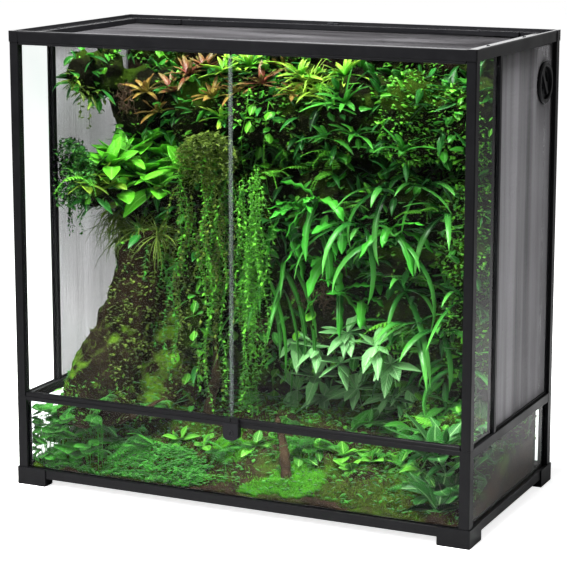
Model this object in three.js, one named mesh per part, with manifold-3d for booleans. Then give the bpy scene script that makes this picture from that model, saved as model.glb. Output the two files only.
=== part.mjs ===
// Front-opening terrarium cabinet: a knock-down frame of posts, rails and corner blocks that holds
// glass panes, side mesh panels with a cable port, a lift-out mesh top, twin glass doors on pins
// and a cam lock, planted with a foam back wall, soil, a trunk and a mass of foliage.
// Millimetres, +Z up. The doors face -Y. The origin is on the floor, at the middle of the
// footprint, which counts the lock's projection in front of the frame.
import * as THREE from "three";
import { mergeVertices } from "three/addons/utils/BufferGeometryUtils.js";
import Module from "manifold-3d";

const wasm = await Module();
wasm.setup();

// ---- Driving sizes -------------------------------------------------------------------------

// Overall frame
const WIDTH = 900;
const DEPTH = 450;
const HEIGHT = 850;
const JOINT_HEIGHT = 172; // floor to the joint between lower and upper posts

// Running fit between seated pieces, and the seam between butted ones
const FIT = 0.3;
const SEAM = 0.3;

// Setbacks from the feet's outer faces
const BLOCK_SETBACK = 1;
const POST_SETBACK = 2;
const RAIL_SETBACK = 2.5;
const PANE_SETBACK = 8;

// Sections
const LOWER_POST = 19;
const UPPER_POST = 17;
const RAIL_WIDTH = 16.5;
const EDGE_RADIUS = 2.5;
const PANE = 5;
const GROOVE_DEPTH = 5;
const POST_GROOVE_DEPTH = 4.5;
const PANE_EDGE_GAP = 0.5; // between a pane's edge and the bottom of its groove
const PANE_CORNER = 17; // outer corner to the upright edges of a pane

// Feet and bottom rails
const FOOT_ARM = 60;
const FOOT_WIDTH = 26.5;
const FOOT_HEIGHT = 33;
const FOOT_SOCKET_FLOOR = 19.7;
const RAIL_SOCKET_DEPTH = 30;
const BOTTOM_RAIL_BOTTOM = 14.5;
const BOTTOM_RAIL_TOP = 32.5;
const BOTTOM_RAIL_WIDTH = 21.5;
const BASE_LEDGE_HEIGHT = 20.5;
const GROOVE_WALL = 3.2;

// Mid rails
const MID_RAIL_HEIGHT = 17;
const SILL_TOP = 170.6;
const SILL_HEIGHT = 8.6;
const SILL_GROOVE_DEPTH = 4.5;

// Top rails, corner blocks and the lift-out screen
const TOP_RAIL_HEIGHT = 20;
const LIP_WIDTH = 5;
const SEAT_DROP = 11.5; // rim to the ledge that carries the screen
const BLOCK_SIZE = 18;
const TONGUE_LENGTH = 10;
const CHAMBER_WALL = 1.3;
const CHAMBER_DROP = 4;
const SCREEN_GAP = 0.5;
const SCREEN_MEMBER = 28;
const SCREEN_DROP = 5; // rim to the screen frame's top
const SCREEN_BOX_HEIGHT = 13;
const SCREEN_GROOVE = 4;
const SCREEN_GROOVE_RISE = 1.2;
const LUG_START = 40;
const LUG_LENGTH = 70;
const LUG_WIDTH = 6;
const LUG_DEPTH = 9;
const LUG_RISE = 0.8;

// Mesh panels
const NET_THICKNESS = 1.6;
const WIRE = 2;
const TOP_NET_BORDER = 6;
const TOP_NET_COLUMNS = 16;
const TOP_NET_ROWS = 8;
const SIDE_NET_BORDER = 8;
const SIDE_NET_COLUMNS = 6;
const SIDE_NET_ROWS = 14;

// Screen latches
const LATCH_SETBACK = 20;
const LATCH_RADIUS = 7;
const LATCH_REACH = 16;
const LATCH_TONGUE_WIDTH = 7;
const LATCH_TONGUE = 2.3;
const LATCH_GRIP = 2.2;
const LATCH_GRIP_WIDTH = 4;
const LATCH_PIN_RADIUS = 2.5;
const LATCH_PIN_DEPTH = 5;
const LATCH_SLOT_HALF = 11;
const LATCH_SLOT_HEIGHT = 3;
const LATCH_SLOT_WALL = 1;

// Side dividers
const DIVIDER_FROM_FRONT = 133;
const DIVIDER_WIDTH = 10;
const DIVIDER_SETBACK = 4;
const DIVIDER_DEPTH = 13;
const DIVIDER_GROOVE = 3.5;

// Cable port, in the right-hand mesh panel
const PORT_FROM_BACK = 70;
const PORT_DROP = 91; // rim to the port's centre
const PORT_FLANGE_RADIUS = 38;
const PORT_COLLAR_RADIUS = 35;
const PORT_BORE_RADIUS = 30;
const PORT_FLANGE = 6;
const PORT_INNER_FLANGE = 3;
const PORT_SHELF = 2.2;
const PORT_RIM_ROUND = 2;
const GATE_RADIUS = 29.4;
const GATE_THICKNESS = 3;
const GATE_BAR_WIDTH = 8;
const GATE_BAR_LENGTH = 50;
const GATE_BAR_HEIGHT = 3.4;
const WINDOW_INNER_RADIUS = 8;
const WINDOW_OUTER_RADIUS = 23;
const WINDOW_ANGLE = 72;
const GATE_TILT = 35;
const ROUND_SEGMENTS = 32;

// Doors
const PIVOT_FROM_SIDE = 26.5;
const PIVOT_SETBACK = 7.5;
const DOOR_HEEL = 5; // past the pivot, towards the post
const DOOR_GAP = 1.5; // between the two doors' edging strips
const DOOR_PANE_GAP = 4; // between the two doors' glass
const DOOR_BOTTOM_GAP = 0.4;
const DOOR_TOP_GAP = 0.4;
const STRIP_DEPTH = 9.6;
const BOTTOM_STRIP_HEIGHT = 7;
const BOTTOM_STRIP_GROOVE = 4;
const TOP_STRIP_HEIGHT = 5;
const TOP_STRIP_GROOVE = 2.5;
const STRIP_RADIUS = 1.8;
const PIN_RADIUS = 2;
const PIN_LENGTH = 2.9;
const SEAL_WALL = 1;
const SEAL_GRIP = 3.5;
const SEAL_NOSE = 2.9;

// Lock
const LOCK_PROUD = 6; // in front of the feet's front faces
const LOCK_WIDTH = 30;
const LOCK_HEIGHT = 31.6;
const LOCK_ROUND = 13; // radius of the two lower corners
const BARREL_RADIUS = 6;
const BARREL_DROP = 18; // lock body's top to the barrel's axis
const BARREL_LENGTH = 11;
const BARREL_PROUD = 0.6;
const KEYWAY_WIDTH = 1.8;
const KEYWAY_LENGTH = 7;
const KEYWAY_DEPTH = 2.5;
const BOLT_WIDTH = 8;
const BOLT_THICKNESS = 3.4;
const BOLT_HEIGHT = 10;
const BOLT_TRAVEL = 5.5;
const BOLT_SETBACK = -2.2;
const BOLT_ROOM = 0.6; // round the bolt, in the lock and in the doors' catches
const CATCH_WIDTH = 14;
const CATCH_HEIGHT = 8.3;
const CATCH_SETBACK = -5;

// Planting
const WALL_THICKNESS = 38;
const WALL_LUMP = 9;
const WALL_TOP_GAP = 16;
const WALL_FLAT_SHARE = 0.17; // of its height, behind the soil
const WALL_COLUMNS = 14;
const WALL_ROWS = 12;
const SOIL_FRONT_DEPTH = 52;
const SOIL_BACK_DEPTH = 100;
const SOIL_LUMP = 20;
const SOIL_COLUMNS = 18;
const SOIL_ROWS = 9;
const SOIL_GAP = 0.5;
const TRUNK_RADIUS = 98;
const TRUNK_TOP_RADIUS = 40;
const TRUNK_DEPTH_SHARE = 0.72; // of its width
const TRUNK_RINGS = 9;
const TRUNK_SIDES = 12;
const PLANT_GAP = 0.5;

// ---- Sizes that follow ---------------------------------------------------------------------

const PANE_INNER = PANE_SETBACK + PANE;
const GROOVE_LOW = PANE_SETBACK - FIT;
const GROOVE_HIGH = PANE_INNER + FIT;
const LOWER_POST_INNER = POST_SETBACK + LOWER_POST;
const UPPER_POST_INNER = POST_SETBACK + UPPER_POST;
const RAIL_INNER = RAIL_SETBACK + RAIL_WIDTH;
const LIP_INNER = RAIL_SETBACK + LIP_WIDTH;
const BLOCK_INNER = BLOCK_SETBACK + BLOCK_SIZE;
const TOP_RAIL_BOTTOM = HEIGHT - TOP_RAIL_HEIGHT;
const SEAT_HEIGHT = HEIGHT - SEAT_DROP;
const MID_RAIL_BOTTOM = JOINT_HEIGHT - MID_RAIL_HEIGHT;
const SILL_BOTTOM = SILL_TOP - SILL_HEIGHT;
const BASE_TOP = BASE_LEDGE_HEIGHT + FIT + PANE;
const LOWER_PANE_BOTTOM = BOTTOM_RAIL_TOP - GROOVE_DEPTH + PANE_EDGE_GAP;
const UPPER_PANE_BOTTOM = JOINT_HEIGHT - GROOVE_DEPTH + PANE_EDGE_GAP;
const UPPER_PANE_TOP = TOP_RAIL_BOTTOM + GROOVE_DEPTH - PANE_EDGE_GAP;
const DOOR_BOTTOM = SILL_TOP + DOOR_BOTTOM_GAP;
const DOOR_TOP = TOP_RAIL_BOTTOM - DOOR_TOP_GAP;
const LOCK_TOP = SILL_TOP;
const DEGREE = Math.PI / 180;

// ---- Materials -----------------------------------------------------------------------------

function finish(color, roughness, metalness = 0, opacity = 1) {
  return new THREE.MeshStandardMaterial({
    color,
    roughness,
    metalness,
    opacity,
    transparent: opacity < 1,
  });
}
const frameBlack = () => finish(0x141417, 0.38);
const gasketGrey = () => finish(0xb4bcbf, 0.45, 0, 0.7);
const clearGlass = () => finish(0xdfeee8, 0.05, 0, 0.2);
const wireGrey = () => finish(0x6f6c74, 0.5, 0.6);
const lockBlack = () => finish(0x1b181c, 0.45);
const steel = () => finish(0x8f8f94, 0.35, 0.9);
const foamBrown = () => finish(0x3b3323, 0.95);
const soilBrown = () => finish(0x3f4a1d, 0.95);
const barkBrown = () => finish(0x3a2f20, 0.95);
const leafGreen = () => finish(0x3f8a2a, 0.6);

// ---- Geometry helpers ----------------------------------------------------------------------

// A closed geometry as a solid that can be joined and cut.
function solidOf(geometry) {
  const bare = new THREE.BufferGeometry();
  const flat = geometry.index ? geometry.toNonIndexed() : geometry;
  bare.setAttribute("position", flat.getAttribute("position"));
  const merged = mergeVertices(bare, 1e-3);
  return new wasm.Manifold(
    new wasm.Mesh({
      numProp: 3,
      vertProperties: new Float32Array(merged.attributes.position.array),
      triVerts: new Uint32Array(merged.index.array),
    }),
  );
}

function geometryOf(solid) {
  const { vertProperties, triVerts } = solid.getMesh();
  const geometry = new THREE.BufferGeometry();
  geometry.setAttribute("position", new THREE.BufferAttribute(vertProperties, 3));
  geometry.setIndex(new THREE.BufferAttribute(triVerts, 1));
  geometry.computeVertexNormals();
  return geometry;
}

function join(...pieces) {
  return geometryOf(pieces.map(solidOf).reduce((whole, piece) => whole.add(piece)));
}

function cut(body, ...tools) {
  return geometryOf(tools.map(solidOf).reduce((left, tool) => left.subtract(tool), solidOf(body)));
}

// A block between two limits on each axis, in either order.
function block([x0, x1], [y0, y1], [z0, z1]) {
  const geometry = new THREE.BoxGeometry(Math.abs(x1 - x0), Math.abs(y1 - y0), Math.abs(z1 - z0));
  return geometry.translate((x0 + x1) / 2, (y0 + y1) / 2, (z0 + z1) / 2);
}

// A closed outline from corners [x, y] or [x, y, radius]; a radius rounds its corner.
function outline(corners, target = new THREE.Shape()) {
  corners.forEach(([x, y, radius = 0], index) => {
    const before = corners[(index + corners.length - 1) % corners.length];
    const after = corners[(index + 1) % corners.length];
    const corner = new THREE.Vector2(x, y);
    const towards = ([px, py]) => new THREE.Vector2(px, py).sub(corner).normalize();
    const start = corner.clone().addScaledVector(towards(before), radius);
    const end = corner.clone().addScaledVector(towards(after), radius);
    if (index === 0) target.moveTo(start.x, start.y);
    else target.lineTo(start.x, start.y);
    if (radius > 0) target.quadraticCurveTo(x, y, end.x, end.y);
  });
  return target;
}

function extrude(shape, depth, curveSegments = 3) {
  return new THREE.ExtrudeGeometry(shape, { depth, curveSegments, bevelEnabled: false });
}

// A plan outline raised between two heights.
function prism(shape, bottom, top, curveSegments) {
  return extrude(shape, top - bottom, curveSegments).translate(0, 0, bottom);
}

// A section drawn as (setback, height), run along X and centred on X = 0.
const ALONG_X = new THREE.Matrix4().makeBasis(
  new THREE.Vector3(0, 1, 0),
  new THREE.Vector3(0, 0, 1),
  new THREE.Vector3(1, 0, 0),
);
function bar(section, length) {
  return extrude(section, length)
    .translate(0, 0, -length / 2)
    .applyMatrix4(ALONG_X);
}

// A round rod along Z between two heights.
function rod(x, y, radius, bottom, top, segments = 12) {
  const geometry = new THREE.CylinderGeometry(radius, radius, top - bottom, segments);
  return geometry.rotateX(Math.PI / 2).translate(x, y, (bottom + top) / 2);
}

// A round rod along Y between two setbacks.
function rodAlongY(x, z, radius, front, back, segments = 20) {
  const geometry = new THREE.CylinderGeometry(radius, radius, back - front, segments);
  return geometry.translate(x, (front + back) / 2, z);
}

function piece(parent, name, geometry, material) {
  const mesh = new THREE.Mesh(geometry, material);
  mesh.name = name;
  parent.add(mesh);
  return mesh;
}

// A flat net in the XZ plane, centred on Y = 0: a border and straight wires both ways.
function net(width, height, border, columns, rows) {
  const sheet = block(
    [-width / 2, width / 2],
    [-NET_THICKNESS / 2, NET_THICKNESS / 2],
    [-height / 2, height / 2],
  );
  const pitchX = (width - 2 * border + WIRE) / columns;
  const pitchZ = (height - 2 * border + WIRE) / rows;
  const gaps = [];
  for (let column = 0; column < columns; column++) {
    for (let row = 0; row < rows; row++) {
      const x = -width / 2 + border + column * pitchX;
      const z = -height / 2 + border + row * pitchZ;
      gaps.push(
        block([x, x + pitchX - WIRE], [-NET_THICKNESS, NET_THICKNESS], [z, z + pitchZ - WIRE]),
      );
    }
  }
  return cut(sheet, ...gaps);
}

// ---- The four sides and four corners -------------------------------------------------------

// Each side's group has X along the side, Y inwards from the feet's outer face and Z up.
const SIDES = [
  { name: "front", span: WIDTH, x: 0, y: -DEPTH / 2, turn: 0 },
  { name: "right", span: DEPTH, x: WIDTH / 2, y: 0, turn: 90 },
  { name: "back", span: WIDTH, x: 0, y: DEPTH / 2, turn: 180 },
  { name: "left", span: DEPTH, x: -WIDTH / 2, y: 0, turn: 270 },
];

// Each corner's group has X and Y inwards from the corner's two outer faces. A corner's grooves
// say on which of its inner faces the upper post takes a pane: x faces local +X, y local +Y.
// The front posts meet level with the sill, so that the doors' heels clear the lower ones.
const FRONT = { y: -DEPTH / 2, joint: SILL_TOP };
const BACK = { y: DEPTH / 2, joint: JOINT_HEIGHT, grooves: ["x", "y"] };
const CORNERS = [
  { ...FRONT, name: "front_left", x: -WIDTH / 2, turn: 0, grooves: ["y"] },
  { ...FRONT, name: "front_right", x: WIDTH / 2, turn: 90, grooves: ["x"] },
  { ...BACK, name: "back_right", x: WIDTH / 2, turn: 180 },
  { ...BACK, name: "back_left", x: -WIDTH / 2, turn: 270 },
];

function turnedGroup(parent, { x, y, turn }) {
  const group = new THREE.Group();
  group.position.set(x, y, 0);
  group.rotation.z = turn * DEGREE;
  parent.add(group);
  return group;
}

// ---- Posts, feet and corner blocks ---------------------------------------------------------

// A post's plan: a square with a rounded outer edge and a pane groove in each face named.
function postPlan(inner, grooves) {
  const bottom = inner - POST_GROOVE_DEPTH;
  const corners = [[POST_SETBACK, POST_SETBACK, EDGE_RADIUS], [inner, POST_SETBACK]];
  if (grooves.includes("x")) {
    corners.push([inner, GROOVE_LOW], [bottom, GROOVE_LOW]);
    corners.push([bottom, GROOVE_HIGH], [inner, GROOVE_HIGH]);
  }
  corners.push([inner, inner]);
  if (grooves.includes("y")) {
    corners.push([GROOVE_HIGH, inner], [GROOVE_HIGH, bottom]);
    corners.push([GROOVE_LOW, bottom], [GROOVE_LOW, inner]);
  }
  corners.push([POST_SETBACK, inner]);
  return outline(corners);
}

// A corner foot: an L-shaped cap with a socket for the post, one for the end of each bottom rail
// and slots that the lower panes and the base pass through.
function footGeometry() {
  const plan = outline([
    [0, 0, EDGE_RADIUS],
    [FOOT_ARM, 0],
    [FOOT_ARM, FOOT_WIDTH],
    [FOOT_WIDTH, FOOT_WIDTH],
    [FOOT_WIDTH, FOOT_ARM],
    [0, FOOT_ARM],
  ]);
  const above = FOOT_HEIGHT + 1;
  const railEnd = FOOT_ARM - RAIL_SOCKET_DEPTH;
  const railAcross = [RAIL_SETBACK - FIT, RAIL_SETBACK + BOTTOM_RAIL_WIDTH + FIT];
  const railAlong = [railEnd - FIT, FOOT_ARM + 1];
  const paneAlong = [PANE_CORNER - FIT, railEnd];
  const paneAcross = [GROOVE_LOW, GROOVE_HIGH];
  const post = [POST_SETBACK - FIT, LOWER_POST_INNER + FIT];
  const railZ = [BOTTOM_RAIL_BOTTOM - FIT, above];
  const paneZ = [LOWER_PANE_BOTTOM - PANE_EDGE_GAP, above];
  return cut(
    prism(plan, 0, FOOT_HEIGHT),
    block(post, post, [FOOT_SOCKET_FLOOR, above]),
    block(railAlong, railAcross, railZ),
    block(railAcross, railAlong, railZ),
    block(paneAlong, paneAcross, paneZ),
    block(paneAcross, paneAlong, paneZ),
  );
}

// A top corner block: the rim's lip turned round the corner, a slot for the end of each pane that
// stands below it, and a tongue for each rail.
function cornerBlockGeometry(grooves) {
  const plan = outline([
    [BLOCK_SETBACK, BLOCK_SETBACK, EDGE_RADIUS],
    [BLOCK_INNER, BLOCK_SETBACK],
    [BLOCK_INNER, BLOCK_INNER],
    [BLOCK_SETBACK, BLOCK_INNER],
  ]);
  const rebate = [LIP_INNER, BLOCK_INNER + 1];
  const slotAlong = [PANE_CORNER - FIT, BLOCK_INNER + 1];
  const slotAcross = [GROOVE_LOW, GROOVE_HIGH];
  const slotZ = [TOP_RAIL_BOTTOM - 1, TOP_RAIL_BOTTOM + GROOVE_DEPTH];
  const slots = {
    x: block(slotAlong, slotAcross, slotZ),
    y: block(slotAcross, slotAlong, slotZ),
  };
  const body = cut(
    prism(plan, TOP_RAIL_BOTTOM, HEIGHT),
    block(rebate, rebate, [SEAT_HEIGHT, HEIGHT + 1]),
    ...grooves.map((face) => slots[face]),
  );
  const along = [BLOCK_INNER - 1, BLOCK_INNER + TONGUE_LENGTH];
  const across = [RAIL_SETBACK + CHAMBER_WALL + FIT, LIP_INNER - CHAMBER_WALL - FIT];
  const tall = [TOP_RAIL_BOTTOM + CHAMBER_DROP + FIT, HEIGHT - CHAMBER_DROP - FIT];
  return join(body, block(along, across, tall), block(across, along, tall));
}

function addCorner(parent, corner) {
  const group = turnedGroup(parent, corner);
  piece(group, `foot_${corner.name}`, footGeometry(), frameBlack());
  const lower = prism(
    postPlan(LOWER_POST_INNER, ["x", "y"]),
    FOOT_SOCKET_FLOOR + FIT,
    corner.joint,
  );
  piece(group, `lower_post_${corner.name}`, lower, frameBlack());
  const upper = prism(
    postPlan(UPPER_POST_INNER, corner.grooves),
    corner.joint + SEAM,
    TOP_RAIL_BOTTOM - SEAM,
  );
  piece(group, `upper_post_${corner.name}`, upper, frameBlack());
  piece(group, `corner_block_${corner.name}`, cornerBlockGeometry(corner.grooves), frameBlack());
}

// ---- Rails ---------------------------------------------------------------------------------

// Bottom rail: a groove for the lower pane and an inner ledge for the base.
function bottomRailSection() {
  const inner = RAIL_SETBACK + BOTTOM_RAIL_WIDTH;
  const wall = GROOVE_HIGH + GROOVE_WALL;
  const groove = BOTTOM_RAIL_TOP - GROOVE_DEPTH;
  return outline([
    [RAIL_SETBACK, BOTTOM_RAIL_BOTTOM, EDGE_RADIUS / 2],
    [inner, BOTTOM_RAIL_BOTTOM],
    [inner, BASE_LEDGE_HEIGHT],
    [wall, BASE_LEDGE_HEIGHT],
    [wall, BOTTOM_RAIL_TOP],
    [GROOVE_HIGH, BOTTOM_RAIL_TOP],
    [GROOVE_HIGH, groove],
    [GROOVE_LOW, groove],
    [GROOVE_LOW, BOTTOM_RAIL_TOP],
    [RAIL_SETBACK, BOTTOM_RAIL_TOP, EDGE_RADIUS / 2],
  ]);
}

// Mid rail at the sides and back: a groove below for the lower pane and one above.
function midRailSection() {
  return outline([
    [RAIL_SETBACK, MID_RAIL_BOTTOM, EDGE_RADIUS / 2],
    [GROOVE_LOW, MID_RAIL_BOTTOM],
    [GROOVE_LOW, MID_RAIL_BOTTOM + GROOVE_DEPTH],
    [GROOVE_HIGH, MID_RAIL_BOTTOM + GROOVE_DEPTH],
    [GROOVE_HIGH, MID_RAIL_BOTTOM],
    [RAIL_INNER, MID_RAIL_BOTTOM],
    [RAIL_INNER, JOINT_HEIGHT],
    [GROOVE_HIGH, JOINT_HEIGHT],
    [GROOVE_HIGH, JOINT_HEIGHT - GROOVE_DEPTH],
    [GROOVE_LOW, JOINT_HEIGHT - GROOVE_DEPTH],
    [GROOVE_LOW, JOINT_HEIGHT],
    [RAIL_SETBACK, JOINT_HEIGHT, EDGE_RADIUS / 2],
  ]);
}

// The sill under the doors: slimmer, with only the lower groove.
function sillSection() {
  return outline([
    [RAIL_SETBACK, SILL_BOTTOM, EDGE_RADIUS / 2],
    [GROOVE_LOW, SILL_BOTTOM],
    [GROOVE_LOW, SILL_BOTTOM + SILL_GROOVE_DEPTH],
    [GROOVE_HIGH, SILL_BOTTOM + SILL_GROOVE_DEPTH],
    [GROOVE_HIGH, SILL_BOTTOM],
    [RAIL_INNER, SILL_BOTTOM],
    [RAIL_INNER, SILL_TOP],
    [RAIL_SETBACK, SILL_TOP, EDGE_RADIUS / 2],
  ]);
}

// Top rail: a hollow lip round the rim, a ledge that carries the screen and, where a pane stands
// below it, a groove in the underside.
function topRailSection(grooved) {
  const corners = [[RAIL_SETBACK, TOP_RAIL_BOTTOM]];
  if (grooved) {
    corners.push([GROOVE_LOW, TOP_RAIL_BOTTOM], [GROOVE_LOW, TOP_RAIL_BOTTOM + GROOVE_DEPTH]);
    corners.push([GROOVE_HIGH, TOP_RAIL_BOTTOM + GROOVE_DEPTH], [GROOVE_HIGH, TOP_RAIL_BOTTOM]);
  }
  corners.push([RAIL_INNER, TOP_RAIL_BOTTOM], [RAIL_INNER, SEAT_HEIGHT]);
  corners.push([LIP_INNER, SEAT_HEIGHT], [LIP_INNER, HEIGHT]);
  corners.push([RAIL_SETBACK, HEIGHT, EDGE_RADIUS]);
  const section = outline(corners);
  const chamber = new THREE.Path();
  const near = RAIL_SETBACK + CHAMBER_WALL;
  const far = LIP_INNER - CHAMBER_WALL;
  const low = TOP_RAIL_BOTTOM + CHAMBER_DROP;
  const high = HEIGHT - CHAMBER_DROP;
  outline([[near, low], [near, high], [far, high], [far, low]], chamber);
  section.holes.push(chamber);
  return section;
}

function addRails(group, side) {
  const ahead = side.name === "front";
  const bottom = bar(bottomRailSection(), side.span - 2 * (FOOT_ARM - RAIL_SOCKET_DEPTH));
  piece(group, `bottom_rail_${side.name}`, bottom, frameBlack());

  let mid = bar(
    ahead ? sillSection() : midRailSection(),
    side.span - 2 * (LOWER_POST_INNER + SEAM),
  );
  let top = bar(topRailSection(!ahead), side.span - 2 * (BLOCK_INNER + SEAM));
  if (ahead) {
    const pivotX = side.span / 2 - PIVOT_FROM_SIDE;
    const depth = PIN_LENGTH + FIT;
    for (const x of [-pivotX, pivotX]) {
      const hole = PIN_RADIUS + FIT;
      mid = cut(mid, rod(x, PIVOT_SETBACK, hole, DOOR_BOTTOM - depth, SILL_TOP + 1));
      top = cut(top, rod(x, PIVOT_SETBACK, hole, TOP_RAIL_BOTTOM - 1, DOOR_TOP + depth));
    }
  }
  if (ahead || side.name === "back") {
    const frameTop = HEIGHT - SCREEN_DROP;
    const slot = block(
      [-LATCH_SLOT_HALF, LATCH_SLOT_HALF],
      [RAIL_SETBACK + LATCH_SLOT_WALL, LIP_INNER + 1],
      [frameTop, frameTop + LATCH_SLOT_HEIGHT],
    );
    top = cut(top, slot);
  }
  piece(group, `mid_rail_${side.name}`, mid, frameBlack());
  piece(group, `top_rail_${side.name}`, top, frameBlack());
}

// ---- Fixed panes, dividers and side mesh ---------------------------------------------------

function addLowerPane(group, side) {
  const half = side.span / 2 - PANE_CORNER;
  const ahead = side.name === "front";
  const grooveBottom = ahead
    ? SILL_BOTTOM + SILL_GROOVE_DEPTH
    : MID_RAIL_BOTTOM + GROOVE_DEPTH;
  const pane = block(
    [-half, half],
    [PANE_SETBACK, PANE_INNER],
    [LOWER_PANE_BOTTOM, grooveBottom - PANE_EDGE_GAP],
  );
  piece(group, `lower_pane_${side.name}`, pane, clearGlass());
}

function addUpperBackPane(group, side) {
  const half = side.span / 2 - PANE_CORNER;
  const tall = [UPPER_PANE_BOTTOM, UPPER_PANE_TOP];
  const pane = block([-half, half], [PANE_SETBACK, PANE_INNER], tall);
  piece(group, "upper_pane_back", pane, clearGlass());
}

// An upright H-section between the side's front pane and its mesh, with a tongue in each rail.
function dividerGeometry(x) {
  const half = DIVIDER_WIDTH / 2;
  const web = half - DIVIDER_GROOVE;
  const near = DIVIDER_SETBACK;
  const far = DIVIDER_SETBACK + DIVIDER_DEPTH;
  const plan = outline([
    [x - half, near, 1],
    [x + half, near, 1],
    [x + half, GROOVE_LOW],
    [x + web, GROOVE_LOW],
    [x + web, GROOVE_HIGH],
    [x + half, GROOVE_HIGH],
    [x + half, far],
    [x - half, far],
    [x - half, GROOVE_HIGH],
    [x - web, GROOVE_HIGH],
    [x - web, GROOVE_LOW],
    [x - half, GROOVE_LOW],
  ]);
  const tongue = block(
    [x - web, x + web],
    [PANE_SETBACK, PANE_INNER],
    [UPPER_PANE_BOTTOM, UPPER_PANE_TOP],
  );
  return join(prism(plan, JOINT_HEIGHT + SEAM, TOP_RAIL_BOTTOM - SEAM), tongue);
}

// A side's upper half: glass at the front, a divider, then the mesh panel. On the right side the
// front is at local -X, on the left side at local +X.
function addUpperSide(group, side) {
  const forward = side.name === "right" ? -1 : 1;
  const dividerX = forward * (side.span / 2 - DIVIDER_FROM_FRONT);
  piece(group, `side_divider_${side.name}`, dividerGeometry(dividerX), frameBlack());

  const web = DIVIDER_WIDTH / 2 - DIVIDER_GROOVE + PANE_EDGE_GAP;
  const end = side.span / 2 - PANE_CORNER;
  const tall = [UPPER_PANE_BOTTOM, UPPER_PANE_TOP];
  const paneX = [forward * end, dividerX + forward * web];
  const pane = block(paneX, [PANE_SETBACK, PANE_INNER], tall);
  piece(group, `side_pane_${side.name}`, pane, clearGlass());

  const meshX = [dividerX - forward * web, -forward * end];
  const width = Math.abs(meshX[1] - meshX[0]);
  const height = tall[1] - tall[0];
  const middle = (meshX[0] + meshX[1]) / 2;
  const mid = PANE_SETBACK + PANE / 2;
  const flatNet = net(width, height, SIDE_NET_BORDER, SIDE_NET_COLUMNS, SIDE_NET_ROWS);
  flatNet.translate(middle, mid, (tall[0] + tall[1]) / 2);
  const inside = [middle - width / 2 + SIDE_NET_BORDER, middle + width / 2 - SIDE_NET_BORDER];
  const rim = cut(
    block([middle - width / 2, middle + width / 2], [PANE_SETBACK, PANE_INNER], tall),
    block(inside, [0, PANE_INNER + 1], [tall[0] + SIDE_NET_BORDER, tall[1] - SIDE_NET_BORDER]),
  );
  let panel = join(rim, flatNet);
  if (side.name === "right") {
    const port = portPlace(side);
    panel = cut(panel, rodAlongY(port.x, port.z, PORT_COLLAR_RADIUS + FIT, 0, 20, ROUND_SEGMENTS));
    addPort(group, port);
  }
  piece(group, `side_mesh_${side.name}`, panel, wireGrey());
}

// ---- Cable port ----------------------------------------------------------------------------

function portPlace(side) {
  return { x: side.span / 2 - PORT_FROM_BACK, z: HEIGHT - PORT_DROP };
}

// Two opposite windows of a disc, as paths round its centre.
function windows(turn) {
  return [0, 180].map((start) => {
    const from = (start + turn - WINDOW_ANGLE / 2) * DEGREE;
    const to = (start + turn + WINDOW_ANGLE / 2) * DEGREE;
    const path = new THREE.Path();
    path.absarc(0, 0, WINDOW_OUTER_RADIUS, from, to, false);
    path.absarc(0, 0, WINDOW_INNER_RADIUS, to, from, true);
    path.closePath();
    return path;
  });
}

function pierced(radius, thickness, turn) {
  const shape = new THREE.Shape();
  shape.absarc(0, 0, radius, 0, 2 * Math.PI, false);
  shape.holes.push(...windows(turn));
  return extrude(shape, thickness, ROUND_SEGMENTS / 4);
}

// A flanged collar clamped on the net, with a pierced shelf that the gate turns against: open as
// drawn, shut a quarter turn on. Its group stands at the port's centre with Z outwards.
function addPort(sideGroup, place) {
  const netPlane = PANE_SETBACK + PANE / 2;
  const port = new THREE.Group();
  port.position.set(place.x, netPlane, place.z);
  port.rotation.set(Math.PI / 2, 0, 0);
  sideGroup.add(port);

  const clamp = NET_THICKNESS / 2 + FIT;
  const outer = netPlane - POST_SETBACK - EDGE_RADIUS / 2;
  const inner = -clamp - PORT_INNER_FLANGE;
  const profile = [
    [PORT_BORE_RADIUS, inner],
    [PORT_FLANGE_RADIUS, inner],
    [PORT_FLANGE_RADIUS, -clamp],
    [PORT_COLLAR_RADIUS, -clamp],
    [PORT_COLLAR_RADIUS, outer - PORT_FLANGE],
    [PORT_FLANGE_RADIUS, outer - PORT_FLANGE],
    [PORT_FLANGE_RADIUS, outer - PORT_RIM_ROUND],
    [PORT_FLANGE_RADIUS - PORT_RIM_ROUND, outer],
    [PORT_BORE_RADIUS + PORT_RIM_ROUND / 2, outer],
    [PORT_BORE_RADIUS, outer - PORT_RIM_ROUND / 2],
    [PORT_BORE_RADIUS, inner],
  ].map(([radius, height]) => new THREE.Vector2(radius, height));
  const ring = new THREE.LatheGeometry(profile, ROUND_SEGMENTS).rotateX(Math.PI / 2);
  const shelf = pierced(PORT_BORE_RADIUS + 1, PORT_SHELF, GATE_TILT);
  shelf.translate(0, 0, inner);
  piece(port, "cable_port_ring", join(ring, shelf), frameBlack());

  const gateBack = inner + PORT_SHELF + FIT;
  const plate = pierced(GATE_RADIUS, GATE_THICKNESS, GATE_TILT);
  const grip = outline([
    [-GATE_BAR_LENGTH / 2, -GATE_BAR_WIDTH / 2, 2],
    [GATE_BAR_LENGTH / 2, -GATE_BAR_WIDTH / 2, 2],
    [GATE_BAR_LENGTH / 2, GATE_BAR_WIDTH / 2, 2],
    [-GATE_BAR_LENGTH / 2, GATE_BAR_WIDTH / 2, 2],
  ]);
  const raised = prism(grip, GATE_THICKNESS - 1, GATE_THICKNESS + GATE_BAR_HEIGHT);
  raised.rotateZ((90 + GATE_TILT) * DEGREE);
  const gate = piece(port, "cable_port_gate", join(plate, raised), frameBlack());
  gate.position.z = gateBack;
}

// ---- Base ----------------------------------------------------------------------------------

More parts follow.
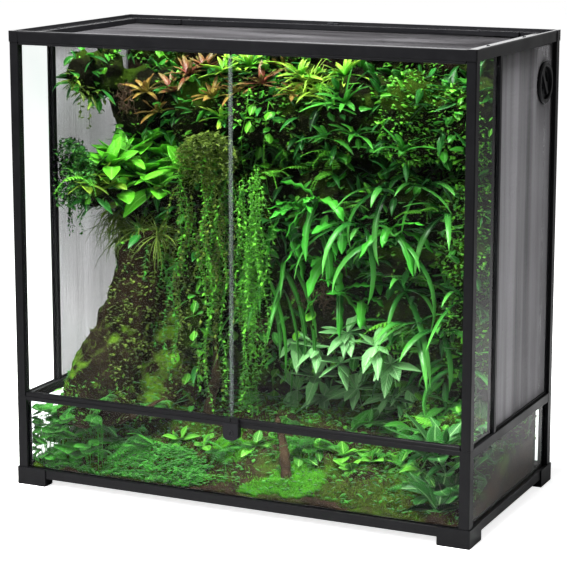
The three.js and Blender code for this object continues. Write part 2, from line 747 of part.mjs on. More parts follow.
// The base lies on the bottom rails' ledges and is notched round the feet.
function baseGeometry() {
  const edge = GROOVE_HIGH + GROOVE_WALL + FIT;
  const foot = FOOT_WIDTH + FIT;
  const arm = FOOT_ARM + FIT;
  const notch = [[arm, edge], [arm, foot], [foot, foot], [foot, arm], [edge, arm]];
  const corners = [];
  for (const [sx, sy] of [[-1, -1], [1, -1], [1, 1], [-1, 1]]) {
    const points = notch.map(([a, b]) => [sx * (WIDTH / 2 - a), sy * (DEPTH / 2 - b)]);
    corners.push(...(sx * sy > 0 ? points.reverse() : points));
  }
  return prism(outline(corners), BASE_LEDGE_HEIGHT + FIT, BASE_TOP);
}

// ---- Doors ---------------------------------------------------------------------------------

// An edging strip's section, as (depth from the pivot, height), with its groove facing up.
function stripSection(height, groove) {
  const half = STRIP_DEPTH / 2;
  const slot = PANE / 2 + FIT;
  return outline([
    [-half, 0, STRIP_RADIUS / 2],
    [half, 0],
    [half, height],
    [slot, height],
    [slot, height - groove],
    [-slot, height - groove],
    [-slot, height],
    [-half, height, STRIP_RADIUS],
  ]);
}

// A door's group stands on its pivot axis; the door runs from there towards the middle.
function addDoor(parent, name, towards) {
  const door = new THREE.Group();
  const pivotX = -towards * (WIDTH / 2 - PIVOT_FROM_SIDE);
  door.position.set(pivotX, -DEPTH / 2 + PIVOT_SETBACK, 0);
  parent.add(door);

  const reach = WIDTH / 2 - PIVOT_FROM_SIDE;
  const stripEnd = reach - DOOR_GAP / 2;
  const paneEnd = reach - DOOR_PANE_GAP / 2;
  const length = stripEnd + DOOR_HEEL;
  const centre = (towards * (stripEnd - DOOR_HEEL)) / 2;
  const front = PIVOT_SETBACK;

  const bottomBar = bar(stripSection(BOTTOM_STRIP_HEIGHT, BOTTOM_STRIP_GROOVE), length);
  bottomBar.translate(centre, 0, DOOR_BOTTOM);
  const lowPin = rod(0, 0, PIN_RADIUS, DOOR_BOTTOM - PIN_LENGTH, DOOR_BOTTOM + 1);
  const catchBlock = block(
    [towards * stripEnd, towards * (stripEnd - CATCH_WIDTH)],
    [CATCH_SETBACK - front, -PANE / 2 - FIT - 0.5],
    [DOOR_BOTTOM, DOOR_BOTTOM + CATCH_HEIGHT],
  );
  const pocket = block(
    [towards * (stripEnd + 1), towards * (reach - BOLT_WIDTH / 2 - BOLT_ROOM)],
    [BOLT_SETBACK - BOLT_ROOM - front, BOLT_SETBACK + BOLT_THICKNESS + BOLT_ROOM - front],
    [DOOR_BOTTOM - 1, LOCK_TOP + BOLT_TRAVEL + BOLT_ROOM],
  );
  const bottomStrip = cut(join(bottomBar, lowPin, catchBlock), pocket);
  piece(door, `${name}_bottom_strip`, bottomStrip, frameBlack());

  const topBar = bar(stripSection(TOP_STRIP_HEIGHT, TOP_STRIP_GROOVE), length);
  topBar.rotateX(Math.PI).scale(1, -1, 1);
  const turned = flipped(topBar).translate(centre, 0, DOOR_TOP);
  const highPin = rod(0, 0, PIN_RADIUS, DOOR_TOP - 1, DOOR_TOP + PIN_LENGTH);
  piece(door, `${name}_top_strip`, join(turned, highPin), frameBlack());

  const pane = block(
    [-towards * DOOR_HEEL, towards * paneEnd],
    [-PANE / 2, PANE / 2],
    [
      DOOR_BOTTOM + BOTTOM_STRIP_HEIGHT - BOTTOM_STRIP_GROOVE + FIT,
      DOOR_TOP - TOP_STRIP_HEIGHT + TOP_STRIP_GROOVE - FIT,
    ],
  );
  piece(door, `${name}_pane`, pane, clearGlass());
  return door;
}

// A mirrored geometry with its faces turned to point outwards again.
function flipped(geometry) {
  const index = geometry.index ? geometry.toNonIndexed() : geometry;
  const position = index.getAttribute("position");
  for (let i = 0; i < position.count; i += 3) {
    const second = new THREE.Vector3().fromBufferAttribute(position, i + 1);
    const third = new THREE.Vector3().fromBufferAttribute(position, i + 2);
    position.setXYZ(i + 1, third.x, third.y, third.z);
    position.setXYZ(i + 2, second.x, second.y, second.z);
  }
  const turned = new THREE.BufferGeometry();
  turned.setAttribute("position", position);
  turned.computeVertexNormals();
  return turned;
}

// A soft channel pushed on the left door's free edge, its nose in the gap between the doors.
function addSeal(door) {
  const edge = WIDTH / 2 - PIVOT_FROM_SIDE - DOOR_PANE_GAP / 2;
  const grip = PANE / 2 + FIT;
  const outer = grip + SEAL_WALL;
  const plan = outline([
    [edge - SEAL_GRIP, -outer],
    [edge + FIT + 0.6, -outer, 0.5],
    [edge + SEAL_NOSE, -SEAL_WALL, 0.5],
    [edge + SEAL_NOSE, SEAL_WALL, 0.5],
    [edge + FIT + 0.6, outer, 0.5],
    [edge - SEAL_GRIP, outer],
    [edge - SEAL_GRIP, grip],
    [edge + FIT, grip],
    [edge + FIT, -grip],
    [edge - SEAL_GRIP, -grip],
  ]);
  const bottom = DOOR_BOTTOM + CATCH_HEIGHT + FIT;
  const top = DOOR_TOP - TOP_STRIP_HEIGHT - FIT;
  piece(door, "door_seal", prism(plan, bottom, top, 2), gasketGrey());
}

// ---- Lock ----------------------------------------------------------------------------------

// The lock's group has Y as setback from the feet's front faces and Z = 0 at the body's top.
function addLock(parent) {
  const lock = new THREE.Group();
  lock.position.set(0, -DEPTH / 2, LOCK_TOP);
  parent.add(lock);

  const half = LOCK_WIDTH / 2;
  const faceRound = outline([
    [-half, 0],
    [-half, -LOCK_HEIGHT, LOCK_ROUND],
    [half, -LOCK_HEIGHT, LOCK_ROUND],
    [half, 0],
  ]);
  const back = PANE_SETBACK - FIT;
  const shell = extrude(faceRound, back + LOCK_PROUD, 6)
    .rotateX(Math.PI / 2)
    .translate(0, back, 0);
  const sillRoom = block(
    [-half - 1, half + 1],
    [RAIL_SETBACK - FIT, back + 1],
    [-SILL_HEIGHT - FIT, 1],
  );
  const barrelFront = -LOCK_PROUD;
  const barrelBack = barrelFront + BARREL_LENGTH;
  const bore = rodAlongY(
    0,
    -BARREL_DROP,
    BARREL_RADIUS + FIT,
    barrelFront - 1,
    barrelBack + FIT,
  );
  const boltSlot = block(
    [-BOLT_WIDTH / 2 - BOLT_ROOM, BOLT_WIDTH / 2 + BOLT_ROOM],
    [BOLT_SETBACK - BOLT_ROOM, BOLT_SETBACK + BOLT_THICKNESS + FIT],
    [-BOLT_HEIGHT - 2 * FIT, 1],
  );
  piece(lock, "lock_body", cut(shell, sillRoom, bore, boltSlot), lockBlack());

  const barrel = cut(
    rodAlongY(0, 0, BARREL_RADIUS, barrelFront - BARREL_PROUD, barrelBack),
    block(
      [-KEYWAY_WIDTH / 2, KEYWAY_WIDTH / 2],
      [barrelFront - BARREL_PROUD - 1, barrelFront - BARREL_PROUD + KEYWAY_DEPTH],
      [-KEYWAY_LENGTH / 2, KEYWAY_LENGTH / 2],
    ),
  );
  piece(lock, "lock_barrel", barrel, steel()).position.z = -BARREL_DROP;

  const bolt = block(
    [-BOLT_WIDTH / 2, BOLT_WIDTH / 2],
    [BOLT_SETBACK, BOLT_SETBACK + BOLT_THICKNESS],
    [-BOLT_HEIGHT - FIT, -FIT],
  );
  piece(lock, "lock_bolt", bolt, steel());
}

// ---- Lift-out screen -----------------------------------------------------------------------

// A rectangle ring's worth of block, from a setback inwards, between two heights.
function plate(setback, low, high) {
  const halfX = WIDTH / 2 - setback;
  const halfY = DEPTH / 2 - setback;
  return block([-halfX, halfX], [-halfY, halfY], [low, high]);
}

// The screen's group has Z = 0 at the rim ledge that it rests on.
function addScreen(parent) {
  const screen = new THREE.Group();
  screen.position.z = SEAT_HEIGHT;
  parent.add(screen);

  const top = SEAT_DROP - SCREEN_DROP;
  const bottom = top - SCREEN_BOX_HEIGHT;
  const outer = LIP_INNER + SCREEN_GAP;
  const opening = outer + SCREEN_MEMBER;
  const grooveLow = bottom + SCREEN_GROOVE_RISE;
  const grooveHigh = grooveLow + NET_THICKNESS + 2 * FIT;
  const latchY = DEPTH / 2 - LATCH_SETBACK;

  const lugs = [];
  for (const sx of [-1, 1]) {
    for (const sy of [-1, 1]) {
      const along = [WIDTH / 2 - opening, WIDTH / 2 - opening - LUG_LENGTH];
      const edge = DEPTH / 2 - opening;
      lugs.push(
        block(
          along.map((x) => sx * (x - LUG_START + outer)),
          [sy * (edge + 1), sy * (edge - LUG_WIDTH)],
          [top + LUG_RISE - LUG_DEPTH, top + LUG_RISE],
        ),
      );
    }
  }
  const solidFrame = join(plate(outer, FIT, top), plate(RAIL_INNER + SCREEN_GAP, bottom, top));
  const ring = cut(
    solidFrame,
    plate(opening, bottom - 1, top + 1),
    plate(opening - SCREEN_GROOVE, grooveLow, grooveHigh),
  );
  const pinHole = LATCH_PIN_RADIUS + FIT;
  const frame = cut(
    join(ring, ...lugs),
    rod(0, -latchY, pinHole, top - LATCH_PIN_DEPTH - FIT, top + 1),
    rod(0, latchY, pinHole, top - LATCH_PIN_DEPTH - FIT, top + 1),
  );
  piece(screen, "screen_frame", frame, frameBlack());

  const netSetback = opening - SCREEN_GROOVE + FIT;
  const flatNet = net(
    WIDTH - 2 * netSetback,
    DEPTH - 2 * netSetback,
    TOP_NET_BORDER,
    TOP_NET_COLUMNS,
    TOP_NET_ROWS,
  );
  flatNet.rotateX(Math.PI / 2).translate(0, 0, grooveLow + FIT + NET_THICKNESS / 2);
  piece(screen, "screen_mesh", flatNet, wireGrey());

  addLatch(screen, "front", -latchY, top);
  addLatch(screen, "back", latchY, top);
}

// A turn button: a pin in the screen frame, a disc with a tongue that turns into the lip's slot
// and a grip. At rest it is released, with the tongue along the rail.
function addLatch(screen, name, y, frameTop) {
  const bottom = FIT;
  const discTop = bottom + LATCH_TONGUE;
  const disc = rod(0, 0, LATCH_RADIUS, bottom, discTop, 20);
  const halfTongue = LATCH_TONGUE_WIDTH / 2;
  const tongue = prism(
    outline([
      [0, -halfTongue],
      [LATCH_REACH, -halfTongue, 2],
      [LATCH_REACH, halfTongue, 2],
      [0, halfTongue],
    ]),
    bottom,
    discTop,
  );
  const grip = block(
    [-LATCH_RADIUS + 1, LATCH_RADIUS - 1],
    [-LATCH_GRIP_WIDTH / 2, LATCH_GRIP_WIDTH / 2],
    [discTop - 1, discTop + LATCH_GRIP],
  );
  const pin = rod(0, 0, LATCH_PIN_RADIUS, -LATCH_PIN_DEPTH, bottom + 1);
  const latch = piece(
    screen,
    `screen_latch_${name}`,
    join(disc, tongue, grip, pin),
    lockBlack(),
  );
  latch.position.set(0, y, frameTop);
}

// ---- Planting ------------------------------------------------------------------------------

// The clear room inside the panes and posts
const ROOM_HALF_WIDTH = WIDTH / 2 - LOWER_POST_INNER - 2;
const ROOM_BACK = DEPTH / 2 - RAIL_INNER - 0.8;
const WALL_FRONT = ROOM_BACK - WALL_THICKNESS;
const WALL_TOP = TOP_RAIL_BOTTOM - WALL_TOP_GAP;
const FLOOR = BASE_TOP + FIT;

// A grid of columns and rows of points on a face, closed by a flat back. face(u, v) gives the
// point on the face and flat(u, v) the point behind it, with u and v from 0 to 1.
function slab(columns, rows, face, flat) {
  const points = [];
  const triangles = [];
  const at = (i, j, layer) => layer * (columns + 1) * (rows + 1) + j * (columns + 1) + i;
  for (const layer of [face, flat]) {
    for (let j = 0; j <= rows; j++) {
      for (let i = 0; i <= columns; i++) points.push(...layer(i / columns, j / rows));
    }
  }
  const quad = (a, b, c, d) => triangles.push(a, b, c, a, c, d);
  for (let j = 0; j < rows; j++) {
    for (let i = 0; i < columns; i++) {
      quad(at(i, j, 0), at(i + 1, j, 0), at(i + 1, j + 1, 0), at(i, j + 1, 0));
      quad(at(i, j, 1), at(i, j + 1, 1), at(i + 1, j + 1, 1), at(i + 1, j, 1));
    }
  }
  for (let i = 0; i < columns; i++) {
    quad(at(i, 0, 1), at(i + 1, 0, 1), at(i + 1, 0, 0), at(i, 0, 0));
    quad(at(i, rows, 0), at(i + 1, rows, 0), at(i + 1, rows, 1), at(i, rows, 1));
  }
  for (let j = 0; j < rows; j++) {
    quad(at(0, j, 0), at(0, j + 1, 0), at(0, j + 1, 1), at(0, j, 1));
    quad(at(columns, j, 1), at(columns, j + 1, 1), at(columns, j + 1, 0), at(columns, j, 0));
  }
  const geometry = new THREE.BufferGeometry();
  geometry.setAttribute("position", new THREE.Float32BufferAttribute(points, 3));
  geometry.setIndex(triangles);
  geometry.computeVertexNormals();
  return geometry;
}

// The carved foam wall, flat behind the soil and lumpy above it; moved forward by a gap where it
// serves as a cutter.
function wallGeometry(gap = 0) {
  const x = (u) => ROOM_HALF_WIDTH * (2 * u - 1);
  const z = (v) => FLOOR + (WALL_TOP - FLOOR) * v;
  const front = (u, v) => {
    const lump = WALL_LUMP * Math.min(1, Math.max(0, 4 * (v - WALL_FLAT_SHARE)));
    return WALL_FRONT - gap - lump * Math.sin(7 * u + 3 * v) * Math.cos(9 * v - 2 * u);
  };
  return slab(
    WALL_COLUMNS,
    WALL_ROWS,
    (u, v) => [x(u), front(u, v), z(v)],
    (u, v) => [x(u), ROOM_BACK, z(v)],
  );
}

// The soil: deeper at the back, with low mounds; raised by a gap where it serves as a cutter.
function soilHeight(x, y) {
  const share = (y + DEPTH / 2) / DEPTH;
  const slope = SOIL_FRONT_DEPTH + (SOIL_BACK_DEPTH - SOIL_FRONT_DEPTH) * share;
  const mound = Math.sin((6 * x) / WIDTH + 1) * Math.cos((9 * x) / WIDTH + (5 * y) / DEPTH);
  return FLOOR + slope + SOIL_LUMP * mound;
}
function soilGeometry(gap = 0) {
  const edge = GROOVE_HIGH + GROOVE_WALL + SOIL_GAP;
  const halfX = WIDTH / 2 - edge;
  const ahead = edge - DEPTH / 2;
  const behind = WALL_FRONT - SOIL_GAP;
  const x = (u) => -halfX + 2 * halfX * u;
  const y = (v) => ahead + (behind - ahead) * v;
  return slab(
    SOIL_COLUMNS,
    SOIL_ROWS,
    (u, v) => [x(u), y(v), soilHeight(x(u), y(v)) + gap],
    (u, v) => [x(u), y(v), FLOOR - gap],
  );
}

// Blocks that stand for the feet and lower posts, with room round them.
function cornerRoom() {
  const rooms = [];
  const post = LOWER_POST_INNER + SOIL_GAP;
  const foot = FOOT_WIDTH + SOIL_GAP;
  const arm = FOOT_ARM + SOIL_GAP;
  const footTop = FOOT_HEIGHT + SOIL_GAP;
  for (const sx of [-1, 1]) {
    for (const sy of [-1, 1]) {
      const room = (a, b, top) =>
        block([sx * (WIDTH / 2 - a), sx * WIDTH], [sy * (DEPTH / 2 - b), sy * DEPTH], [0, top]);
      rooms.push(room(post, post, JOINT_HEIGHT), room(arm, foot, footTop));
      rooms.push(room(foot, arm, footTop));
    }
  }
  return rooms;
}

// The trunk: rings that shrink and lean as they climb, from below the soil's surface.
function trunkGeometry(gap = 0) {
  const foot = new THREE.Vector3(-0.7 * ROOM_HALF_WIDTH, -0.09 * DEPTH, FLOOR);
  const knee = new THREE.Vector3(-0.6 * ROOM_HALF_WIDTH, 0.12 * DEPTH, 0.38 * HEIGHT);
  const head = new THREE.Vector3(-0.5 * ROOM_HALF_WIDTH, 0.16 * DEPTH, 0.66 * HEIGHT);
  const line = new THREE.QuadraticBezierCurve3(foot, knee, head);
  const points = [];
  const triangles = [];
  for (let ring = 0; ring <= TRUNK_RINGS; ring++) {
    const share = ring / TRUNK_RINGS;
    const centre = line.getPoint(share);
    const size = TRUNK_RADIUS + (TRUNK_TOP_RADIUS - TRUNK_RADIUS) * share + gap;
    for (let side = 0; side < TRUNK_SIDES; side++) {
      const angle = (side / TRUNK_SIDES) * 2 * Math.PI;
      const radius = size * (1 + 0.12 * Math.sin(3 * angle + 4 * share));
      const rise = (ring === TRUNK_RINGS ? gap : 0) - (ring === 0 ? gap : 0);
      points.push(
        centre.x + radius * Math.cos(angle),
        centre.y + TRUNK_DEPTH_SHARE * radius * Math.sin(angle),
        centre.z + rise,
      );
    }
  }
  const at = (ring, side) => ring * TRUNK_SIDES + (side % TRUNK_SIDES);
  for (let ring = 0; ring < TRUNK_RINGS; ring++) {
    for (let side = 0; side < TRUNK_SIDES; side++) {
      const corners = [at(ring, side), at(ring, side + 1), at(ring + 1, side + 1), at(ring + 1, side)];
      triangles.push(corners[0], corners[1], corners[2], corners[0], corners[2], corners[3]);
    }
  }
  for (let side = 1; side < TRUNK_SIDES - 1; side++) {
    triangles.push(at(0, 0), at(0, side + 1), at(0, side));
    triangles.push(at(TRUNK_RINGS, 0), at(TRUNK_RINGS, side), at(TRUNK_RINGS, side + 1));
  }
  const geometry = new THREE.BufferGeometry();
  geometry.setAttribute("position", new THREE.Float32BufferAttribute(points, 3));
  geometry.setIndex(triangles);
  geometry.computeVertexNormals();
  return geometry;
}

// Clumps of foliage, each a round mass. In order: its place across (-1 to 1), its place forward of
// the wall as a share of the depth, its height (0 to 1), and its half sizes as shares of the
// room's width, the depth and the room's height. They overlap into one mass on the wall and trunk.
const CLUMPS = [
  [-1, 0.16, 0.9, 0.111, 0.16, 0.121],
  [-0.66, 0.17, 0.9, 0.111, 0.178, 0.121],
  [-0.33, 0.19, 0.9, 0.111, 0.189, 0.121],
  [0, 0.19, 0.9, 0.111, 0.178, 0.121],
  [0.33, 0.19, 0.9, 0.111, 0.189, 0.121],
  [0.66, 0.19, 0.9, 0.111, 0.178, 0.121],
  [1, 0.17, 0.9, 0.111, 0.167, 0.121],
  [-0.95, 0.19, 0.66, 0.0991, 0.178, 0.133],
  [-0.58, 0.22, 0.66, 0.0932, 0.2, 0.133],
  [-0.22, 0.20, 0.64, 0.0874, 0.178, 0.14],
  [0.18, 0.19, 0.66, 0.0991, 0.178, 0.14],
  [0.58, 0.19, 0.64, 0.111, 0.178, 0.146],
  [1, 0.19, 0.62, 0.0991, 0.178, 0.152],
  [-0.1, 0.20, 0.38, 0.0758, 0.167, 0.14],
  [0.24, 0.18, 0.38, 0.0991, 0.167, 0.146],
  [0.62, 0.20, 0.36, 0.105, 0.178, 0.146],
  [1, 0.21, 0.34, 0.0991, 0.189, 0.152],
  [0.9, 0.23, 0.12, 0.111, 0.211, 0.108],
  [-1, 0.17, 0.42, 0.0699, 0.151, 0.19],
  [-1, 0.22, 0.14, 0.0991, 0.2, 0.114],
  [-1, 0.42, 0.7, 0.0583, 0.196, 0.0812],
  [-1, 0.42, 0.97, 0.049, 0.233, 0.0787],
  [-0.5, 0.36, 0.4, 0.0536, 0.116, 0.209],
  [1, 0.48, 0.14, 0.0769, 0.211, 0.0812],
  [1, 0.64, 0.11, 0.0723, 0.129, 0.0787],
];
function foliageGeometry() {
  const roomHeight = WALL_TOP - FLOOR;
  const masses = CLUMPS.map(([across, ahead, up, shareX, shareY, shareZ]) => {
    const halfX = shareX * 2 * ROOM_HALF_WIDTH;
    const halfZ = shareZ * roomHeight;
    const mass = new THREE.IcosahedronGeometry(1, 1).scale(halfX, shareY * DEPTH, halfZ);
    return mass.translate(
      across * (ROOM_HALF_WIDTH - halfX),
      WALL_FRONT - ahead * DEPTH,
      FLOOR + up * (roomHeight - halfZ / 2),
    );
  });
  const wide = WIDTH;
  const ceiling = block([-wide, wide], [-DEPTH, DEPTH], [WALL_TOP, HEIGHT]);
  return cut(
    join(...masses),
    wallGeometry(PLANT_GAP),
    soilGeometry(PLANT_GAP),
    trunkGeometry(PLANT_GAP),
    ceiling,
  );
}

function addPlanting(parent) {
  const wall = cut(wallGeometry(), ...cornerRoom());
  piece(parent, "background_wall", wall, foamBrown());
  const soil = cut(soilGeometry(), ...cornerRoom());
  piece(parent, "soil_bed", soil, soilBrown());
  const trunk = cut(trunkGeometry(), soilGeometry(PLANT_GAP), wallGeometry(PLANT_GAP));
  piece(parent, "tree_trunk", trunk, barkBrown());
  piece(parent, "foliage", foliageGeometry(), leafGreen());
}

// ---- Assembly ------------------------------------------------------------------------------

const cabinet = new THREE.Group();
cabinet.position.y = (LOCK_PROUD + BARREL_PROUD) / 2;

for (const corner of CORNERS) addCorner(cabinet, corner);
for (const side of SIDES) {
  const group = turnedGroup(cabinet, side);
  addRails(group, side);
  addLowerPane(group, side);
  if (side.name === "back") addUpperBackPane(group, side);
  if (side.name === "left" || side.name === "right") addUpperSide(group, side);
}
piece(cabinet, "base_pane", baseGeometry(), clearGlass());
addSeal(addDoor(cabinet, "left_door", 1));
addDoor(cabinet, "right_door", -1);
addLock(cabinet);
addScreen(cabinet);
addPlanting(cabinet);

const terrarium = new THREE.Group();
terrarium.add(cabinet);
export default terrarium;
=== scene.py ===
"""Finishes the terrarium cabinet: frame, glass, woven mesh, carved wall, soil, trunk and plants."""

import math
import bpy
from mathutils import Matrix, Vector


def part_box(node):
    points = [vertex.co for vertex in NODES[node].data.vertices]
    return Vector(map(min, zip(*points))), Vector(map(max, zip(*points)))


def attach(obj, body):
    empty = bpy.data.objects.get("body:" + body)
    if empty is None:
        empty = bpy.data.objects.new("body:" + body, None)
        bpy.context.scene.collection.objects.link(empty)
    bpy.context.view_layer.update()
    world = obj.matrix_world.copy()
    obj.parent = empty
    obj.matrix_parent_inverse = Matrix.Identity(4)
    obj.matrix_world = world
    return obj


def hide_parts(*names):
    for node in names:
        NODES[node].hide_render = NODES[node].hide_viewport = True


bl_info = {
    "name": "Terrarium cabinet",
    "version": (1, 0, 0),
    "blender": (4, 5, 0),
    "location": "View3D > Sidebar > Terrarium",
    "description": "Dresses the packed terrarium cabinet with its finishes and its planting",
    "category": "Object",
}

import bpy
import numpy as np
from mathutils import Vector
from mathutils.bvhtree import BVHTree

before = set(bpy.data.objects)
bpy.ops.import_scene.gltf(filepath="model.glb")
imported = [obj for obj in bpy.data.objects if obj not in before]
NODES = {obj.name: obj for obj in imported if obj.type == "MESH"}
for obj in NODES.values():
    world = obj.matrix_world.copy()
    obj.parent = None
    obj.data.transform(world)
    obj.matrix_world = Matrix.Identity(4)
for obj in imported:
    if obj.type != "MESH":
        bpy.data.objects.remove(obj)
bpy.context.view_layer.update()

# The clear room inside the panes and posts, which every leaf stays in.
ROOM_LOW = np.array([-0.4300, -0.1990, 0.0275])
ROOM_HIGH = np.array([0.4300, 0.2070, 0.8280])
MERGE = 0.00002  # points of a CAD mesh that are nearer than this are one

# The camera stands where the photograph was taken from. Its lens is given in the picture's pixels.
CAMERA_PLACE = (1.5789, -3.3752, 1.1548)
CAMERA_YAW = math.radians(25.10)
CAMERA_PITCH = math.radians(10.14)
PICTURE = 567.0  # the picture's width and height
CAMERA_FOCUS = 2053.5
CAMERA_DROP = 57.0  # from the lens's axis down to the picture's middle


# ---- Sizes and colours that a user would change ----------------------------------------------


def colour_setting(name, description, default):
    return bpy.props.FloatVectorProperty(
        name=name, description=description, subtype="COLOR", size=3, min=0, max=1, default=default
    )


def length_setting(name, description, default):
    return bpy.props.FloatProperty(
        name=name, description=description, subtype="DISTANCE", unit="LENGTH", default=default
    )


class FrameSettings(bpy.types.PropertyGroup):
    """The black frame, its glass and its fittings"""

    black: colour_setting("Frame black", "Satin black of the posts and rails", (0.003, 0.003, 0.0035))
    fittings: colour_setting("Fittings black", "Black of the lock and latches", (0.006, 0.006, 0.007))
    edge: length_setting("Edge round", "Width of the rounded edges on the frame", 0.0006)
    glass: colour_setting("Glass", "Tint of light that passes the glass", (0.965, 0.985, 0.975))


class WireSettings(bpy.types.PropertyGroup):
    """The woven wire of the side and top panels"""

    pitch: length_setting("Wire pitch", "From one wire to the next", 0.0021)
    thickness: length_setting("Wire thickness", "Across one wire", 0.00062)
    colour: colour_setting("Wire", "Colour of the wire", (0.185, 0.180, 0.190))


class PlantSettings(bpy.types.PropertyGroup):
    """The planting"""

    seed: bpy.props.IntProperty(name="Seed", description="Start of every random place", default=7)
    density: bpy.props.FloatProperty(
        name="Density", description="Share of the scattered leaves that are made", default=1.0, min=0.05
    )
    moss: colour_setting("Moss", "Light green of the moss", (0.12, 0.26, 0.015))
    soil: colour_setting("Soil", "Dark brown of the soil", (0.030, 0.018, 0.010))
    bark: colour_setting("Bark", "Brown of the trunk and roots", (0.055, 0.034, 0.019))


class StageSettings(bpy.types.PropertyGroup):
    """The floor, the lamps and the background"""

    floor: colour_setting("Floor", "Colour of the floor", (0.90, 0.90, 0.90))
    lamp: bpy.props.FloatProperty(
        name="Lamp", description="Power of the large lamp in front", subtype="POWER", default=96.0
    )
    sky: bpy.props.FloatProperty(
        name="Sky", description="Strength of the light from all round", default=0.24
    )


def settings(name):
    return getattr(bpy.context.scene, "terrarium_" + name)


def seeded(step):
    """Random numbers that start anew for each operator, from the user's seed."""
    return np.random.default_rng(settings("plant").seed + step)


# ---- Nodes -----------------------------------------------------------------------------------


def new_material(name):
    material = bpy.data.materials.new(name)
    material.use_nodes = True
    material.node_tree.nodes.clear()
    return material, material.node_tree


def node(tree, kind, inputs=None, **values):
    made = tree.nodes.new(kind)
    for key, value in values.items():
        setattr(made, key, value)
    for key, value in (inputs or {}).items():
        plug(tree, made.inputs[key], value)
    return made


def plug(tree, socket, value):
    """Links an output to the socket, or sets the socket to a plain value."""
    if isinstance(value, bpy.types.NodeSocket):
        tree.links.new(value, socket)
    elif hasattr(value, "__len__") and len(value) == 3 and socket.type == "RGBA":
        socket.default_value = (*value, 1.0)
    else:
        socket.default_value = value


def mixed(tree, factor, first, second):
    made = tree.nodes.new("ShaderNodeMix")
    made.data_type = "RGBA"
    plug(tree, made.inputs[0], factor)
    plug(tree, made.inputs[6], first)
    plug(tree, made.inputs[7], second)
    return made.outputs[2]


def sums(tree, operation, first, second=0.0, third=0.0, clamp=False):
    made = tree.nodes.new("ShaderNodeMath")
    made.operation = operation
    made.use_clamp = clamp
    for socket, value in zip(made.inputs, (first, second, third)):
        plug(tree, socket, value)
    return made.outputs[0]


def ranged(tree, value, low, high, to_low=0.0, to_high=1.0):
    made = node(
        tree,
        "ShaderNodeMapRange",
        {"Value": value, "From Min": low, "From Max": high, "To Min": to_low, "To Max": to_high},
    )
    made.clamp = True
    return made.outputs["Result"]


def place(tree, stretch=(1.0, 1.0, 1.0)):
    """The point's place on the object, with a stretch for patterns that run one way."""
    coordinates = node(tree, "ShaderNodeTexCoord").outputs["Object"]
    mapping = node(tree, "ShaderNodeMapping", {"Vector": coordinates, "Scale": stretch})
    return mapping.outputs["Vector"]


def noise(tree, vector, scale, detail=4.0, roughness=0.5):
    made = node(
        tree,
        "ShaderNodeTexNoise",
        {"Vector": vector, "Scale": scale, "Detail": detail, "Roughness": roughness},
    )
    return made.outputs["Fac"]


def bumped(tree, height, distance, strength=1.0):
    made = node(tree, "ShaderNodeBump", {"Height": height, "Distance": distance, "Strength": strength})
    return made.outputs["Normal"]


def surface(tree, colour, roughness, normal=None, **more):
    inputs = {"Base Color": colour, "Roughness": roughness}
    inputs.update({key.replace("_", " "): value for key, value in more.items()})
    shader = node(tree, "ShaderNodeBsdfPrincipled", inputs)
    if normal is not None:
        plug(tree, shader.inputs["Normal"], normal)
    node(tree, "ShaderNodeOutputMaterial", {"Surface": shader.outputs[0]})
    return shader


# ---- Finishes --------------------------------------------------------------------------------

WHITE = (1.0, 1.0, 1.0)
GLASS_GLINT = 1.14  # a low index, so that the panes shine only at a grazing angle
SEAL_CLOUD = 0.13  # the share of the seal that isn't see-through


def times(colour, share):
    """The colour, made darker or lighter."""
    return tuple(share * part for part in colour)


def blend(tree, share, first, second):
    """Ends a material in a mixture of two shaders."""
    made = node(tree, "ShaderNodeMixShader", {0: share, 1: first.outputs[0], 2: second.outputs[0]})
    node(tree, "ShaderNodeOutputMaterial", {"Surface": made.outputs[0]})


def satin_black(name, colour, rough=0.34, coat=0.0):
    """Black paint, a little cloudy and dusty. A coat gives it a clear shine."""
    material, tree = new_material(name)
    where = place(tree)
    drawn = noise(tree, where, 900.0, 2.0)
    cloudy = noise(tree, where, 14.0, 3.0)
    dust = noise(tree, where, 60.0, 6.0)
    roughness = ranged(tree, cloudy, 0.3, 0.7, rough - 0.06, rough + 0.10)
    dusty = tuple(2.0 * part + 0.002 for part in colour)
    shade = mixed(tree, ranged(tree, dust, 0.5, 0.8, 0.0, 0.3), colour, dusty)
    surface(
        tree, shade, roughness, bumped(tree, drawn, 0.00004, 0.5),
        Specular_IOR_Level=0.06, Coat_Weight=coat, Coat_Roughness=0.12,
    )
    return material


def clear_glass():
    """Glass that light passes straight through, with a faint glint on its outer side."""
    material, tree = new_material("clear_glass")
    smear = ranged(tree, noise(tree, place(tree), 9.0, 3.0), 0.3, 0.7)
    tint = mixed(tree, smear, tuple(settings("frame").glass), WHITE)
    passing = node(tree, "ShaderNodeBsdfTransparent", {"Color": tint})
    glint = node(tree, "ShaderNodeBsdfGlossy", {"Color": WHITE, "Roughness": 0.0})
    facing = node(tree, "ShaderNodeFresnel", {"IOR": GLASS_GLINT}).outputs[0]
    behind = node(tree, "ShaderNodeNewGeometry").outputs["Backfacing"]
    share = sums(tree, "MULTIPLY", facing, sums(tree, "SUBTRACT", 1.0, behind))
    blend(tree, share, passing, glint)
    return material


def clear_seal():
    """Soft clear plastic with a little cloud in it."""
    material, tree = new_material("clear_seal")
    cloud = ranged(tree, noise(tree, place(tree), 6.0, 3.0), 0.3, 0.7)
    shade = mixed(tree, cloud, (0.12, 0.14, 0.13), (0.20, 0.23, 0.22))
    look = {"Base Color": shade, "Roughness": 0.5, "Specular IOR Level": 0.1}
    body = node(tree, "ShaderNodeBsdfPrincipled", look)
    passing = node(tree, "ShaderNodeBsdfTransparent", {"Color": (0.95, 0.97, 0.96)})
    blend(tree, SEAL_CLOUD, passing, body)
    return material


